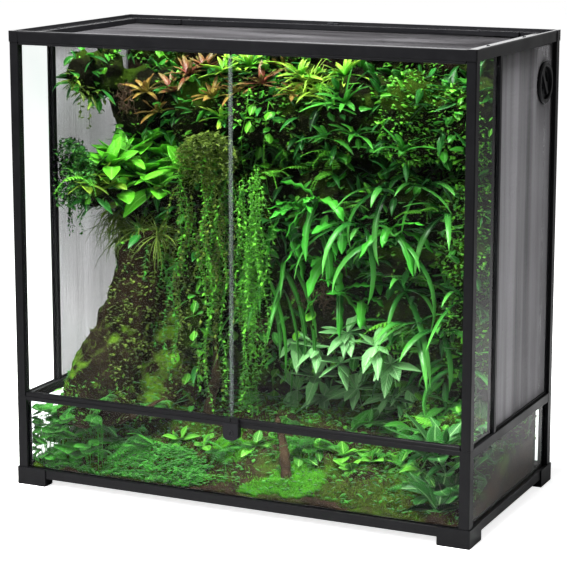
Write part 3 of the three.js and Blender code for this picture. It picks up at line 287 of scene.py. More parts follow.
def painted_light_wire(name, share, gloss=0.25):
    """The wire's colour at a share of its lightness, which paints how light or dark the panel looks, in
    soft streaks of painted sheen.
    """
    material, tree = new_material(name)
    # The share lightens or darkens the panel: painted light and shade.
    colour = times(settings("wire").colour, share)
    # The streaks paint the sheen of light on a mesh that waves a little.
    painted_sheen = noise(tree, place(tree, (0.15, 1.0, 0.03)), 26.0, 3.0)
    shade = mixed(tree, ranged(tree, painted_sheen, 0.35, 0.65), times(colour, 0.6), times(colour, 1.5))
    surface(tree, shade, ranged(tree, painted_sheen, 0.3, 0.7, 0.45, 0.6), Specular_IOR_Level=gloss)
    return material


def brushed_steel():
    material, tree = new_material("brushed_steel")
    grain = noise(tree, place(tree, (600.0, 20.0, 600.0)), 3.0, 4.0)
    shade = mixed(tree, grain, (0.30, 0.30, 0.31), (0.52, 0.52, 0.53))
    roughness = ranged(tree, grain, 0.2, 0.8, 0.22, 0.45)
    surface(tree, shade, roughness, bumped(tree, grain, 0.00003), Metallic=1.0)
    return material


def earthy(name, dark, light, moss, moss_share, scale, bump, up_moss=0.0):
    """Rough ground, foam or bark: two browns by noise, with moss in patches and on top."""
    material, tree = new_material(name)
    where = place(tree)
    lumps = noise(tree, where, scale, 8.0, 0.65)
    grains = noise(tree, where, scale * 9.0, 4.0, 0.7)
    patches = noise(tree, where, scale * 0.45, 6.0, 0.6)
    brown = mixed(tree, ranged(tree, lumps, 0.36, 0.66), dark, light)
    brown = mixed(tree, ranged(tree, grains, 0.55, 0.75, 0.0, 0.6), brown, times(light, 2.2))
    # More moss on faces that look up. Less on those that look back, which leaves the backs browner and
    # darker as painted shade.
    normal = node(tree, "ShaderNodeNewGeometry").outputs["Normal"]
    facing = node(tree, "ShaderNodeSeparateXYZ", {"Vector": normal}).outputs
    growth = sums(tree, "MULTIPLY_ADD", facing["Z"], up_moss, patches)
    growth = sums(tree, "SUBTRACT", growth, ranged(tree, facing["Y"], 0.7, 1.0, 0.0, 0.5))
    soft = 0.06
    cover = ranged(tree, growth, 1.0 - moss_share - soft, 1.0 - moss_share + soft)
    green = mixed(tree, grains, times(moss, 0.35), times(moss, 1.25))
    height = sums(tree, "ADD", sums(tree, "MULTIPLY", lumps, 2.0), grains)
    shade = mixed(tree, cover, brown, green)
    surface(tree, shade, 0.92, bumped(tree, height, bump), Specular_IOR_Level=0.04)
    return material


def leafy(name, dark, light, rib, rough=0.30, veins=0.0, tip=None):
    """A leaf: its tint from one leaf to the next, a pale rib along it and, if asked, side veins."""
    material, tree = new_material(name)
    tint = node(tree, "ShaderNodeAttribute", attribute_name="tint").outputs["Fac"]
    spots = noise(tree, place(tree), 90.0, 3.0)
    share = sums(tree, "MULTIPLY_ADD", spots, 0.5, sums(tree, "SUBTRACT", tint, 0.25), clamp=True)
    blade = mixed(tree, share, dark, light)
    spread = node(tree, "ShaderNodeUVMap", uv_map="leaf").outputs["UV"]
    across, along = node(tree, "ShaderNodeSeparateXYZ", {"Vector": spread}).outputs[:2]
    aside = sums(tree, "ABSOLUTE", sums(tree, "SUBTRACT", across, 0.5))
    blade = mixed(tree, ranged(tree, aside, 0.015, 0.06, 0.75, 0.0), blade, rib)
    if tip:
        blade = mixed(tree, ranged(tree, along, 0.35, 1.0, 0.0, 0.8), blade, tip)
    normal = None
    if veins:
        slant = sums(tree, "SUBTRACT", along, sums(tree, "MULTIPLY", aside, 0.7))
        wave = sums(tree, "SINE", sums(tree, "MULTIPLY", slant, 2 * math.pi * veins))
        blade = mixed(tree, ranged(tree, wave, 0.86, 1.0, 0.0, 0.45), blade, rib)
        normal = bumped(tree, wave, 0.0005, 0.5)
    surface(tree, blade, rough, normal, Specular_IOR_Level=0.16)
    return material


# ---- Meshes ----------------------------------------------------------------------------------


def deselect():
    if bpy.context.object and bpy.context.object.mode != "OBJECT":
        bpy.ops.object.mode_set(mode="OBJECT")
    bpy.ops.object.select_all(action="DESELECT")


def select_only(piece):
    deselect()
    piece.select_set(True)
    bpy.context.view_layer.objects.active = piece


def settle(piece, name, material, body="cabinet", angle=None):
    """Puts a finished piece's place in its mesh, then names it, paints it and lets it ride."""
    select_only(piece)
    bpy.ops.object.transform_apply(location=True, rotation=True, scale=True)
    if angle is None:
        bpy.ops.object.shade_smooth()
    else:
        bpy.ops.object.shade_smooth_by_angle(angle=math.radians(angle))
    piece.name = name
    piece.data.name = name
    piece.data.materials.clear()
    for one in material if isinstance(material, list) else [material]:
        piece.data.materials.append(one)
    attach(piece, body)
    return piece


def apply_modifier(piece, kind, **values):
    select_only(piece)
    modifier = piece.modifiers.new(kind.title(), kind)
    for key, value in values.items():
        setattr(modifier, key, value)
    bpy.ops.object.modifier_apply(modifier=modifier.name)


def pick(piece, kind, test):
    """Selects the vertices or faces that pass a test, in edit mode, and nothing else."""
    bpy.ops.object.mode_set(mode="EDIT")
    bpy.ops.mesh.select_mode(type=kind)
    bpy.ops.mesh.select_all(action="DESELECT")
    bpy.ops.object.mode_set(mode="OBJECT")
    for part in piece.data.vertices if kind == "VERT" else piece.data.polygons:
        part.select = bool(test(part))
    bpy.ops.object.mode_set(mode="EDIT")


class Shape:
    """The bare arrays of a small mesh that is modelled once and copied many times."""

    def __init__(self, piece):
        mesh = piece.data
        self.points = np.array([v.co[:] for v in mesh.vertices])
        self.counts = np.array([p.loop_total for p in mesh.polygons])
        self.loops = np.array([l.vertex_index for l in mesh.loops])
        bpy.data.objects.remove(piece)
        bpy.data.meshes.remove(mesh)


def leaf_shape(widths, fold, thick, wave=0.0, columns=2, rounded=False):
    """A leaf of length 1 along Y and width 1: each row takes its width, and the rib sinks."""
    deselect()
    rows = len(widths) - 1
    bpy.ops.mesh.primitive_grid_add(
        x_subdivisions=columns, y_subdivisions=rows, size=1, location=(0, 0.5, 0)
    )
    leaf = bpy.context.object
    bpy.ops.object.transform_apply(location=True)
    for row, width in enumerate(widths):
        level = row / rows
        pick(leaf, "VERT", lambda v: abs(v.co.y - level) < 1e-4)
        bpy.ops.transform.resize(value=(width, 1, 1), center_override=(0, level, 0))
        if wave and 0 < row < rows:
            pick(leaf, "VERT", lambda v: abs(v.co.y - level) < 1e-4 and abs(v.co.x) > 0.01)
            bpy.ops.transform.translate(value=(0, 0, wave * (-1) ** row))
        bpy.ops.object.mode_set(mode="OBJECT")
    if fold:
        pick(leaf, "VERT", lambda v: abs(v.co.x) < 1e-4 and 0.01 < v.co.y < 0.99)
        bpy.ops.transform.translate(value=(0, 0, -fold))
        bpy.ops.object.mode_set(mode="OBJECT")
    if rounded:
        apply_modifier(leaf, "SUBSURF", levels=1, render_levels=1)
    apply_modifier(leaf, "SOLIDIFY", thickness=thick, offset=0.0)
    return Shape(leaf)


def tuft_shape():
    """A three-sided needle of length 1 along Y."""
    deselect()
    bpy.ops.mesh.primitive_cone_add(vertices=3, radius1=0.5, radius2=0.0, depth=1)
    needle = bpy.context.object
    needle.rotation_euler = (-math.pi / 2, 0, 0)
    bpy.ops.object.transform_apply(rotation=True)
    needle.location = (0, 0.5, 0)
    bpy.ops.object.transform_apply(location=True)
    return Shape(needle)


class Growth:
    """Gathers copies of leaves and stems into one piece, with a tint for each leaf."""

    def __init__(self):
        self.points, self.loops, self.counts, self.uv, self.tint, self.slots = [], [], [], [], [], []
        self.size = 0

    def add(self, points, loops, counts, uv, tint, slot):
        self.points.append(points)
        self.loops.append(loops + self.size)
        self.counts.append(counts)
        self.uv.append(uv)
        self.tint.append(tint)
        self.slots.append(np.full(len(counts), slot))
        self.size += len(points)

    def blades(self, shape, base, yaw, rise, bend, length, width, tint, roll=0.0, twist=0.0, slot=0):
        """Copies of a leaf, each on its own arc: it sets out from base at a rise and bends down."""
        base = np.atleast_2d(base)
        count = len(base)
        spread = lambda value: np.broadcast_to(np.asarray(value, float), (count,))[:, None]
        yaw, rise, bend, length, width = map(spread, (yaw, rise, bend, length, width))
        roll, twist = spread(roll), spread(twist)
        bend = np.where(np.abs(bend) < 1e-3, 1e-3, bend)
        x, t, z = (shape.points[:, axis][None, :] for axis in range(3))
        angle = rise - bend * t
        out = length * (np.sin(rise) - np.sin(angle)) / bend
        up = length * (np.cos(angle) - np.cos(rise)) / bend
        turned = roll + twist * t
        aside = width * (x * np.cos(turned) - z * np.sin(turned))
        above = width * (x * np.sin(turned) + z * np.cos(turned))
        out = out - np.sin(angle) * above
        up = up + np.cos(angle) * above
        points = np.stack(
            [
                base[:, :1] + out * np.cos(yaw) - aside * np.sin(yaw),
                base[:, 1:2] + out * np.sin(yaw) + aside * np.cos(yaw),
                base[:, 2:] + up,
            ],
            axis=-1,
        )
        total = shape.points.shape[0]
        offsets = np.arange(count) * total
        loops = (shape.loops[None, :] + offsets[:, None]).ravel()
        uv = np.stack([shape.points[shape.loops, 0] + 0.5, shape.points[shape.loops, 1]], axis=-1)
        self.add(
            points.reshape(-1, 3),
            loops,
            np.tile(shape.counts, count),
            np.tile(uv, (count, 1)),
            np.repeat(np.broadcast_to(tint, (count,)), total),
            slot,
        )

    def stem(self, path, radius, sides=5, tint=0.5, slot=0, taper=0.6):
        """A closed round stem along a path."""
        path = np.asarray(path, float)
        ahead = np.gradient(path, axis=0)
        ahead /= np.linalg.norm(ahead, axis=1, keepdims=True) + 1e-12
        aside = np.cross(ahead, [0.13, 0.21, 0.97])
        aside /= np.linalg.norm(aside, axis=1, keepdims=True) + 1e-12
        over = np.cross(ahead, aside)
        rings = len(path)
        turn = np.arange(sides) * 2 * math.pi / sides
        sizes = np.linspace(1, taper, rings) * np.broadcast_to(radius, (rings,))
        ring = aside[:, None] * np.cos(turn)[None, :, None] + over[:, None] * np.sin(turn)[None, :, None]
        points = (path[:, None] + sizes[:, None, None] * ring).reshape(-1, 3)
        step = np.arange(rings - 1)[:, None] * sides
        near = np.arange(sides)[None, :]
        far = (near + 1) % sides
        quads = np.stack([step + near, step + far, step + sides + far, step + sides + near], axis=-1)
        ends = np.concatenate([np.arange(sides)[::-1], (rings - 1) * sides + np.arange(sides)])
        counts = np.concatenate([np.full((rings - 1) * sides, 4), [sides, sides]])
        along = np.repeat(np.linspace(0, 1, rings), sides)
        loops = np.concatenate([quads.reshape(-1), ends])
        uv = np.stack([np.full(len(loops), 0.3), along[loops]], axis=-1)
        self.add(points, loops, counts, uv, np.full(len(points), tint), slot)

    def finish(self, name, materials, slot="leaves", body="cabinet", within=True):
        points = np.concatenate(self.points)
        if within:
            points = np.clip(points, ROOM_LOW, ROOM_HIGH)
        loops = np.concatenate(self.loops).astype(np.int32)
        counts = np.concatenate(self.counts).astype(np.int32)
        mesh = bpy.data.meshes.new(name)
        mesh.vertices.add(len(points))
        mesh.vertices.foreach_set("co", points.astype(np.float32).ravel())
        mesh.loops.add(len(loops))
        mesh.loops.foreach_set("vertex_index", loops)
        mesh.polygons.add(len(counts))
        starts = np.concatenate([[0], np.cumsum(counts)[:-1]]).astype(np.int32)
        mesh.polygons.foreach_set("loop_start", starts)
        mesh.polygons.foreach_set("material_index", np.concatenate(self.slots).astype(np.int32))
        mesh.update(calc_edges=True)
        layer = mesh.uv_layers.new(name="leaf")
        layer.data.foreach_set("uv", np.concatenate(self.uv).astype(np.float32).ravel())
        tint = mesh.attributes.new("tint", "FLOAT", "POINT")
        tint.data.foreach_set("value", np.concatenate(self.tint).astype(np.float32))
        mesh.validate()
        piece = bpy.data.objects.new(name, mesh)
        bpy.context.collection.objects.link(piece)
        return settle(piece, name, materials, body)


MIDDLE_DEPTH = 0.02  # a Y that every line of sight into the planting crosses


class Ground:
    """The surfaces that plants stand on: sampled by area, or found along a line of sight."""

    def __init__(self, pieces):
        points, faces, start = [], [], 0
        for piece in pieces:
            mesh = piece.data
            points += [v.co.copy() for v in mesh.vertices]
            mesh.calc_loop_triangles()
            faces += [tuple(start + i for i in t.vertices) for t in mesh.loop_triangles]
            start = len(points)
        self.tree = BVHTree.FromPolygons(points, faces)
        corners = np.array([p[:] for p in points])[np.array(faces)]
        cross = np.cross(corners[:, 1] - corners[:, 0], corners[:, 2] - corners[:, 0])
        size = np.linalg.norm(cross, axis=1)
        self.corners = corners
        self.normals = cross / (size[:, None] + 1e-15)
        self.areas = size / 2

    def spread(self, random, count, test):
        """Random points by area on the faces whose middle and normal pass the test."""
        middles = self.corners.mean(axis=1)
        share = self.areas * test(middles, self.normals)
        picked = random.choice(len(share), count, p=share / share.sum())
        a, b = random.random((2, count, 1))
        flip = a + b > 1
        a, b = np.where(flip, 1 - a, a), np.where(flip, 1 - b, b)
        first, second, third = (self.corners[picked, i] for i in range(3))
        return first + a * (second - first) + b * (third - first), self.normals[picked]

    def sight(self):
        """The camera's place, and its ahead, right and up."""
        sin_yaw, cos_yaw = math.sin(CAMERA_YAW), math.cos(CAMERA_YAW)
        sin_pitch, cos_pitch = math.sin(CAMERA_PITCH), math.cos(CAMERA_PITCH)
        ahead = np.array((-sin_yaw * cos_pitch, cos_yaw * cos_pitch, -sin_pitch))
        right = np.array((cos_yaw, sin_yaw, 0))
        return np.array(CAMERA_PLACE), ahead, right, np.cross(right, ahead)

    def pictured(self, points):
        """Where the picture shows points, in its pixels."""
        eye, ahead, right, above = self.sight()
        lines = points - eye
        scale = CAMERA_FOCUS / (lines @ ahead)
        across = PICTURE / 2 + scale * (lines @ right)
        down = PICTURE / 2 - CAMERA_DROP - scale * (lines @ above)
        return np.stack([across, down], axis=-1)

    def at_depth(self, spots, depth):
        """Where lines of sight from the camera through places in the picture cross a depth (Y)."""
        eye, ahead, right, above = self.sight()
        spots = np.asarray(spots, float)
        lines = (
            CAMERA_FOCUS * ahead
            + (spots[:, :1] - PICTURE / 2) * right
            + (PICTURE / 2 - CAMERA_DROP - spots[:, 1:2]) * above
        )
        reach = (np.broadcast_to(depth, (len(spots),)) - eye[1]) / lines[:, 1]
        return eye + lines * reach[:, None]

    def seen(self, spots):
        """Where those lines first meet the ground, or the ground nearest to where they pass it."""
        eye = Vector(CAMERA_PLACE)
        found = []
        for through in self.at_depth(spots, MIDDLE_DEPTH):
            through = Vector(through)
            place = self.tree.ray_cast(eye, (through - eye).normalized())[0]
            if place is None:
                place = self.tree.find_nearest(through)[0]
            found.append(tuple(place))
        return np.array(found)


def copy_of(name):
    """A merged copy of a CAD node's mesh, to carve."""
    source = NODES[name]
    piece = source.copy()
    piece.data = source.data.copy()
    bpy.context.collection.objects.link(piece)
    piece.parent = None
    piece.matrix_world = source.matrix_world.copy()
    piece.constraints.clear()
    for key in list(piece.keys()):
        del piece[key]
    select_only(piece)
    bpy.ops.object.mode_set(mode="EDIT")
    bpy.ops.mesh.select_all(action="SELECT")
    bpy.ops.mesh.remove_doubles(threshold=MERGE)
    bpy.ops.object.mode_set(mode="OBJECT")
    return piece


# ---- Operators: frame and fittings -----------------------------------------------------------

TOP_NODES = [name for name in NODES if name.startswith(("top_rail_", "corner_block_", "screen_frame"))]
BLACK_STARTS = (
    "foot_", "lower_post_", "upper_post_", "bottom_rail_", "mid_rail_", "side_divider_", "cable_port_",
)
BLACK_NODES = [name for name in NODES if name.startswith(BLACK_STARTS) or name.endswith("_strip")]
GLASS_NODES = [name for name in NODES if "pane" in name]
FITTING_NODES = ["lock_body", "lock_barrel", "screen_latch_front", "screen_latch_back"]

FITTING_EDGE = 0.0004
BOLT_EDGE = 0.00025
RIVET_RADIUS = 0.0032
RIVET_DEPTH = 0.0010
RIVET_SUNK = 0.0004  # from the lid's top face down to a rivet's middle
RIVET_RING = 0.0011  # the flat ring round a rivet's raised head
RIVET_RISE = 0.0005
RIVET_INSET = 0.020  # from the edge of the lid


def finish_nodes(names, material, edge=0.0, top=None):
    """Gives CAD nodes a finish, soft edges and, if asked, another finish on the faces that look up."""
    for name in names:
        piece = NODES[name]
        piece.data.materials.clear()
        piece.data.materials.append(material)
        piece.data.polygons.foreach_set("material_index", [0] * len(piece.data.polygons))
        if top:
            piece.data.materials.append(top)
            for face in piece.data.polygons:
                face.material_index = int(face.normal.z > 0.9)
        if edge:
            weld = piece.modifiers.new("Weld", "WELD")
            weld.merge_threshold = MERGE
            bevel = piece.modifiers.new("Bevel", "BEVEL")
            bevel.width = edge
            bevel.segments = 2
            bevel.limit_method = "ANGLE"
            bevel.angle_limit = math.radians(40)


class TERRARIUM_OT_frame(bpy.types.Operator):
    """Gives the posts, rails, feet, strips and port their satin black finish and soft edges"""

    bl_idname = "terrarium.frame"
    bl_label = "Frame"

    def execute(self, context):
        look = settings("frame")
        black = satin_black("frame_black", tuple(look.black))
        glossy = satin_black("top_face_black", tuple(look.black), rough=0.2, coat=1.0)
        finish_nodes(BLACK_NODES, black, look.edge)
        finish_nodes(TOP_NODES, black, look.edge, top=glossy)
        return {"FINISHED"}


class TERRARIUM_OT_glass(bpy.types.Operator):
    """Makes the panes clear and the door seal a little cloudy"""

    bl_idname = "terrarium.glass"
    bl_label = "Glass and seal"

    def execute(self, context):
        finish_nodes(GLASS_NODES, clear_glass())
        finish_nodes(["door_seal"], clear_seal())
        return {"FINISHED"}


class TERRARIUM_OT_fittings(bpy.types.Operator):
    """Finishes the lock and latches, and sets the rivets in the lid"""

    bl_idname = "terrarium.fittings"
    bl_label = "Lock and latches"

    def execute(self, context):
        dark = satin_black("lock_black", tuple(settings("frame").fittings), rough=0.42)
        finish_nodes(FITTING_NODES, dark, FITTING_EDGE)
        finish_nodes(["lock_bolt"], brushed_steel(), BOLT_EDGE)
        low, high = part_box("screen_frame")
        left, right = low.x + RIVET_INSET, high.x - RIVET_INSET
        front, back = low.y + RIVET_INSET, high.y - RIVET_INSET
        spots = [(x, y) for x in (-0.30, 0.30) for y in (front, back)]
        spots += [(x, y) for x in (left, right) for y in (-0.09, 0.10)]
        rivets = []
        for x, y in spots:
            deselect()
            bpy.ops.mesh.primitive_cylinder_add(
                vertices=20, radius=RIVET_RADIUS, depth=RIVET_DEPTH, location=(x, y, high.z - RIVET_SUNK)
            )
            rivet = bpy.context.object
            pick(rivet, "FACE", lambda f: f.normal.z > 0.9)
            bpy.ops.mesh.inset(thickness=RIVET_RING)
            bpy.ops.transform.translate(value=(0, 0, RIVET_RISE))
            bpy.ops.object.mode_set(mode="OBJECT")
            rivets.append(rivet)
        deselect()
        for rivet in rivets:
            rivet.select_set(True)
        bpy.context.view_layer.objects.active = rivets[0]
        bpy.ops.object.join()
        settle(rivets[0], "lid_rivets", dark, "screen", angle=35)
        return {"FINISHED"}


# ---- Operators: woven wire -------------------------------------------------------------------

WIRE_FLATNESS = 0.9
WIRE_WANDER = 0.00022  # how far a wire strays from its line
SLOW_WAVER = 38.0  # radians along each metre of wire
QUICK_WAVER = 90.0
WIRE_CROSSING = 0.32  # of a wire's thickness, from the panel's middle to each set of wires
SHORTEST_WIRE = 0.002
RIM_BORDER = 0.007
RIM_LAP = 0.001  # of the rim over the ends of the wires
TOP_CLEARANCE = 0.001  # of the top panel's wires in the lid's frame
PORT_HOLE = 0.0358  # radius of the opening for the port


def wire_shape():
    """A straight square wire of length 1 along Y, in eight parts."""
    deselect()
    bpy.ops.mesh.primitive_grid_add(x_subdivisions=1, y_subdivisions=8, size=1, location=(0, 0.5, 0))
    strip = bpy.context.object
    bpy.ops.object.transform_apply(location=True)
    apply_modifier(strip, "SOLIDIFY", thickness=1.0, offset=0.0)
    wire = Shape(strip)
    wire.points[:, 2] *= WIRE_FLATNESS
    return wire


def stretches(line, reach, hole):
    """The lengths of one wire that a round hole leaves. hole is (across, along, radius)."""
    if hole:
        across, along, radius = hole
        off = line - across
        if abs(off) < radius:
            half = math.sqrt(radius ** 2 - off ** 2)
            return [(-reach / 2, along - half), (along + half, reach / 2)]
    return [(-reach / 2, reach / 2)]


def lay_wires(growth, random, wire, upright, span, reach, hole):
    """One set of wires, side by side over a span, that waver a little along their reach."""
    pitch, thick = settings("wire").pitch, settings("wire").thickness
    count = int(span / pitch)
    parts = [
        (line, start, end)
        for line in (np.arange(count) - (count - 1) / 2) * pitch
        for start, end in stretches(line, reach, hole)
        if end - start > SHORTEST_WIRE
    ]
    lines, starts, ends = np.array(parts).T
    x, t, z = wire.points.T
    along = starts[:, None] + t * (ends - starts)[:, None]
    phase = random.random(len(lines))[:, None] * 2 * math.pi
    slow = np.sin(along * SLOW_WAVER + phase * 0.25)
    quick = np.sin(along * QUICK_WAVER + phase)
    sway = WIRE_WANDER * slow + 0.4 * WIRE_WANDER * quick
    aside = lines[:, None] + x * thick + 0.5 * sway
    depth = z * thick + (WIRE_CROSSING if upright else -WIRE_CROSSING) * thick + sway
    axes = (aside, depth, along) if upright else (along, depth, aside)
    loops = wire.loops + np.arange(len(lines))[:, None] * len(wire.points)
    counts = wire.counts
    if not upright:
        # Two axes have changed places, so the faces are turned to look outwards again.
        loops, counts = loops[:, ::-1], counts[::-1]
    growth.add(
        np.stack(axes, axis=-1).reshape(-1, 3),
        loops.ravel(),
        np.tile(counts, len(lines)),
        np.zeros((loops.size, 2)),
        np.zeros(along.size),
        0,
    )


def woven(random, wide, high, hole=None):
    """A panel of woven wire in the XZ plane, centred. hole is a round opening as (x, z, radius)."""
    growth = Growth()
    wire = wire_shape()
    lay_wires(growth, random, wire, True, wide, high, hole)
    lay_wires(growth, random, wire, False, high, wide, hole and (hole[1], hole[0], hole[2]))
    return growth


def rim_frame(low, high, border):
    """A flat rectangular rim between two corners, thin along X."""
    deselect()
    bpy.ops.mesh.primitive_cube_add(size=1, location=(low + high) / 2)
    rim = bpy.context.object
    rim.scale = high - low
    bpy.ops.object.transform_apply(location=True, rotation=True, scale=True)
    pick(rim, "FACE", lambda f: abs(f.normal.x) > 0.9)
    bpy.ops.mesh.inset(thickness=border)
    bpy.ops.mesh.bridge_edge_loops()
    bpy.ops.object.mode_set(mode="OBJECT")
    apply_modifier(rim, "BEVEL", width=0.0004, segments=2, limit_method="ANGLE")
    return rim


class TERRARIUM_OT_side_wire(bpy.types.Operator):
    """Weaves both side panels, with a round opening for the port in the right-hand one"""

    bl_idname = "terrarium.side_wire"
    bl_label = "Side wire panels"

    def execute(self, context):
        random = seeded(0)
        # Each panel's share is painted light: the left one is lighter, as it shows against the bright
        # room behind, and the right one a little darker.
        for side, share in (("left", 1.5), ("right", 0.85)):
            low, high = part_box(f"side_mesh_{side}")
            middle = np.array((low + high) / 2)
            hole = None
            if side == "right":
                port_low, port_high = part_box("cable_port_ring")
                port = (port_low + port_high) / 2
                hole = (-(port.y - middle[1]), port.z - middle[2], PORT_HOLE)
            growth = woven(random, high.y - low.y - 2 * RIM_BORDER, high.z - low.z - 2 * RIM_BORDER, hole)
            for part in growth.points:
                part[:] = np.stack([part[:, 1], -part[:, 0], part[:, 2]], axis=-1) + middle
            grey = painted_light_wire(f"wire_{side}", share)
            net = growth.finish(f"woven_wire_{side}", grey, "wire_mesh", within=False)
            rim = rim_frame(low, high, RIM_BORDER + RIM_LAP)
            black = satin_black(f"rim_black_{side}", tuple(settings("frame").black))
            settle(rim, f"wire_rim_{side}", black, "cabinet", angle=35)
            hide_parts(f"side_mesh_{side}")
            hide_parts(f"side_mesh_{side}")
        return {"FINISHED"}


class TERRARIUM_OT_top_wire(bpy.types.Operator):
    """Weaves the lift-out lid's panel"""

    bl_idname = "terrarium.top_wire"
    bl_label = "Top wire panel"

    def execute(self, context):
        low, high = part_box("screen_mesh")
        middle = np.array((low + high) / 2)
        growth = woven(seeded(1), high.x - low.x - TOP_CLEARANCE, high.y - low.y - TOP_CLEARANCE)
        for part in growth.points:
            part[:] = np.stack([part[:, 0], -part[:, 2], part[:, 1]], axis=-1) + middle
        # The top panel's wire is painted far darker than the sides', a painted shade.
        grey = painted_light_wire("wire_top", 0.13, gloss=0.0)
        net = growth.finish("woven_wire_top", grey, "wire_mesh", "screen", within=False)
        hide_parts("screen_mesh")
        return {"FINISHED"}


# ---- Operators: wall, soil, trunk and undergrowth --------------------------------------------

# Layers of carving: each is a texture, the size of its lumps and how far it moves the surface.
WALL_LAYERS = (("CLOUDS", 0.11, 0.045), ("VORONOI", 0.06, 0.018), ("CLOUDS", 0.02, 0.007))
SOIL_LAYERS = (("CLOUDS", 0.06, 0.045), ("VORONOI", 0.035, 0.014), ("CLOUDS", 0.012, 0.009))
TRUNK_LAYERS = (("CLOUDS", 0.07, 0.035), ("VORONOI", 0.03, 0.016), ("CLOUDS", 0.012, 0.006))
BUTTRESS_LAYERS = (("CLOUDS", 0.07, 0.030), ("VORONOI", 0.03, 0.016), ("CLOUDS", 0.012, 0.006))
DRIFTWOOD_LAYERS = (("CLOUDS", 0.02, 0.006), ("CLOUDS", 0.006, 0.003))
UNDERGROWTH_LAYERS = (("CLOUDS", 0.07, 0.050), ("CLOUDS", 0.02, 0.018))

FADE = 0.02  # carving dies away over this distance from a pane or rail
WALL_SIDE = 0.425
WALL_TOP = 0.812
SOIL_SIDE = 0.431
SHRINK = 0.012  # of the undergrowth, to leave room for its leaves

# The buttress's middle line above its foot, and how thick it is at each point.
BUTTRESS_FOOT = (-0.347, -0.118)
BUTTRESS_PATH = (
    (-0.345, -0.112, 0.12), (-0.337, -0.088, 0.19), (-0.320, -0.05, 0.27), (-0.302, -0.015, 0.36),
    (-0.285, 0.015, 0.46),
)
BUTTRESS_RADII = (0.076, 0.074, 0.064, 0.054, 0.047, 0.036)
# Each piece of driftwood, with heights from the top of the soil.
DRIFTWOOD = (
    ((0.075, -0.15, -0.08), (0.055, -0.12, -0.035), (0.020, -0.075, 0.015)),
    ((-0.16, 0.0, -0.02), (-0.145, 0.005, 0.06), (-0.155, 0.02, 0.13)),
    ((-0.30, -0.10, -0.03), (-0.24, -0.12, 0.005), (-0.20, -0.10, 0.03)),
)
DRIFTWOOD_RADII = (0.011, 0.009, 0.005)


def everywhere(co, normal):
    return 1.0


def on_wall(co, normal):
    """The wall is carved on its front, and less near its ends and top."""
    return -normal.y * min(1, (WALL_SIDE - abs(co.x)) / FADE, (WALL_TOP - co.z) / FADE)


def on_soil(co, normal):
    """The soil is carved on its top, and less near the side panes."""
    return normal.z * min(1, (SOIL_SIDE - abs(co.x)) / FADE + 0.35)


def carve(piece, layers, voxel, weight=everywhere):
    """Remeshes a closed piece finely, then roughens it as far as weight lets each point move."""
    apply_modifier(piece, "REMESH", mode="VOXEL", voxel_size=voxel)
    apply_modifier(piece, "SMOOTH", iterations=4, factor=0.5)
    group = piece.vertex_groups.new(name="carve")
    for vertex in piece.data.vertices:
        group.add([vertex.index], max(0.0, min(1.0, weight(vertex.co, vertex.normal))), "REPLACE")
    for index, (kind, size, strength) in enumerate(layers):
        texture = bpy.data.textures.new(f"{piece.name}_{index}", kind)
        texture.noise_scale = size
        if kind == "CLOUDS":
            texture.noise_depth = 3
        apply_modifier(
            piece, "DISPLACE", texture=texture, texture_coords="GLOBAL", strength=strength,
            mid_level=0.5, vertex_group="carve",
        )
    piece.vertex_groups.clear()


def carved(node_name, name, material, layers, voxel, weight=everywhere, shaped=None):
    """A carved piece in place of a CAD node, which shaped may bend first."""
    piece = copy_of(node_name)
    if shaped:
        shaped(piece)
    carve(piece, layers, voxel, weight)
    settle(piece, name, material, "cabinet")
    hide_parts(node_name)


class TERRARIUM_OT_wall(bpy.types.Operator):
    """Carves the foam wall into rock and root shapes"""

    bl_idname = "terrarium.wall"
    bl_label = "Carved wall"

    def execute(self, context):
        moss = times(settings("plant").moss, 0.5)
        foam = earthy(
            "wall_foam", (0.004, 0.003, 0.002), (0.024, 0.016, 0.010), moss,
            moss_share=0.42, scale=16.0, bump=0.004, up_moss=0.1,
        )
        carved("background_wall", "carved_wall", foam, WALL_LAYERS, voxel=0.0065, weight=on_wall)
        return {"FINISHED"}


def slope_down(piece, share=0.16, ahead=-0.195, behind=0.02):
    """Sinks the soil's surface towards the front glass, to a share of its depth there."""
    apply_modifier(piece, "REMESH", mode="VOXEL", voxel_size=0.006)
    floor = min(v.co.z for v in piece.data.vertices)
    for vertex in piece.data.vertices:
        back = max(0.0, min(1.0, (vertex.co.y - ahead) / (behind - ahead)))
        vertex.co.z = floor + (vertex.co.z - floor) * (share + (1 - share) * back ** 0.8)


class TERRARIUM_OT_soil(bpy.types.Operator):
    """Mounds the soil, which sinks towards the front glass"""

    bl_idname = "terrarium.soil"
    bl_label = "Soil"

    def execute(self, context):
        soil, moss = settings("plant").soil, settings("plant").moss
        ground_brown = earthy(
            "soil_moss", times(soil, 0.3), times(soil, 1.6), times(moss, 0.45),
            moss_share=0.44, scale=22.0, bump=0.006,
        )
        carved(
            "soil_bed", "soil_mounds", ground_brown, SOIL_LAYERS,
            voxel=0.006, weight=on_soil, shaped=slope_down,
        )
        return {"FINISHED"}


class TERRARIUM_OT_trunk(bpy.types.Operator):
    """Carves the trunk's bark"""

    bl_idname = "terrarium.trunk"
    bl_label = "Trunk"

    def execute(self, context):
        bark, moss = settings("plant").bark, tuple(settings("plant").moss)
        rough_bark = earthy(
            "trunk_bark", times(bark, 0.14), times(bark, 0.7), moss,
            moss_share=0.40, scale=20.0, bump=0.006, up_moss=0.15,
        )
        carved("tree_trunk", "trunk_bark", rough_bark, TRUNK_LAYERS, voxel=0.0045)
        return {"FINISHED"}


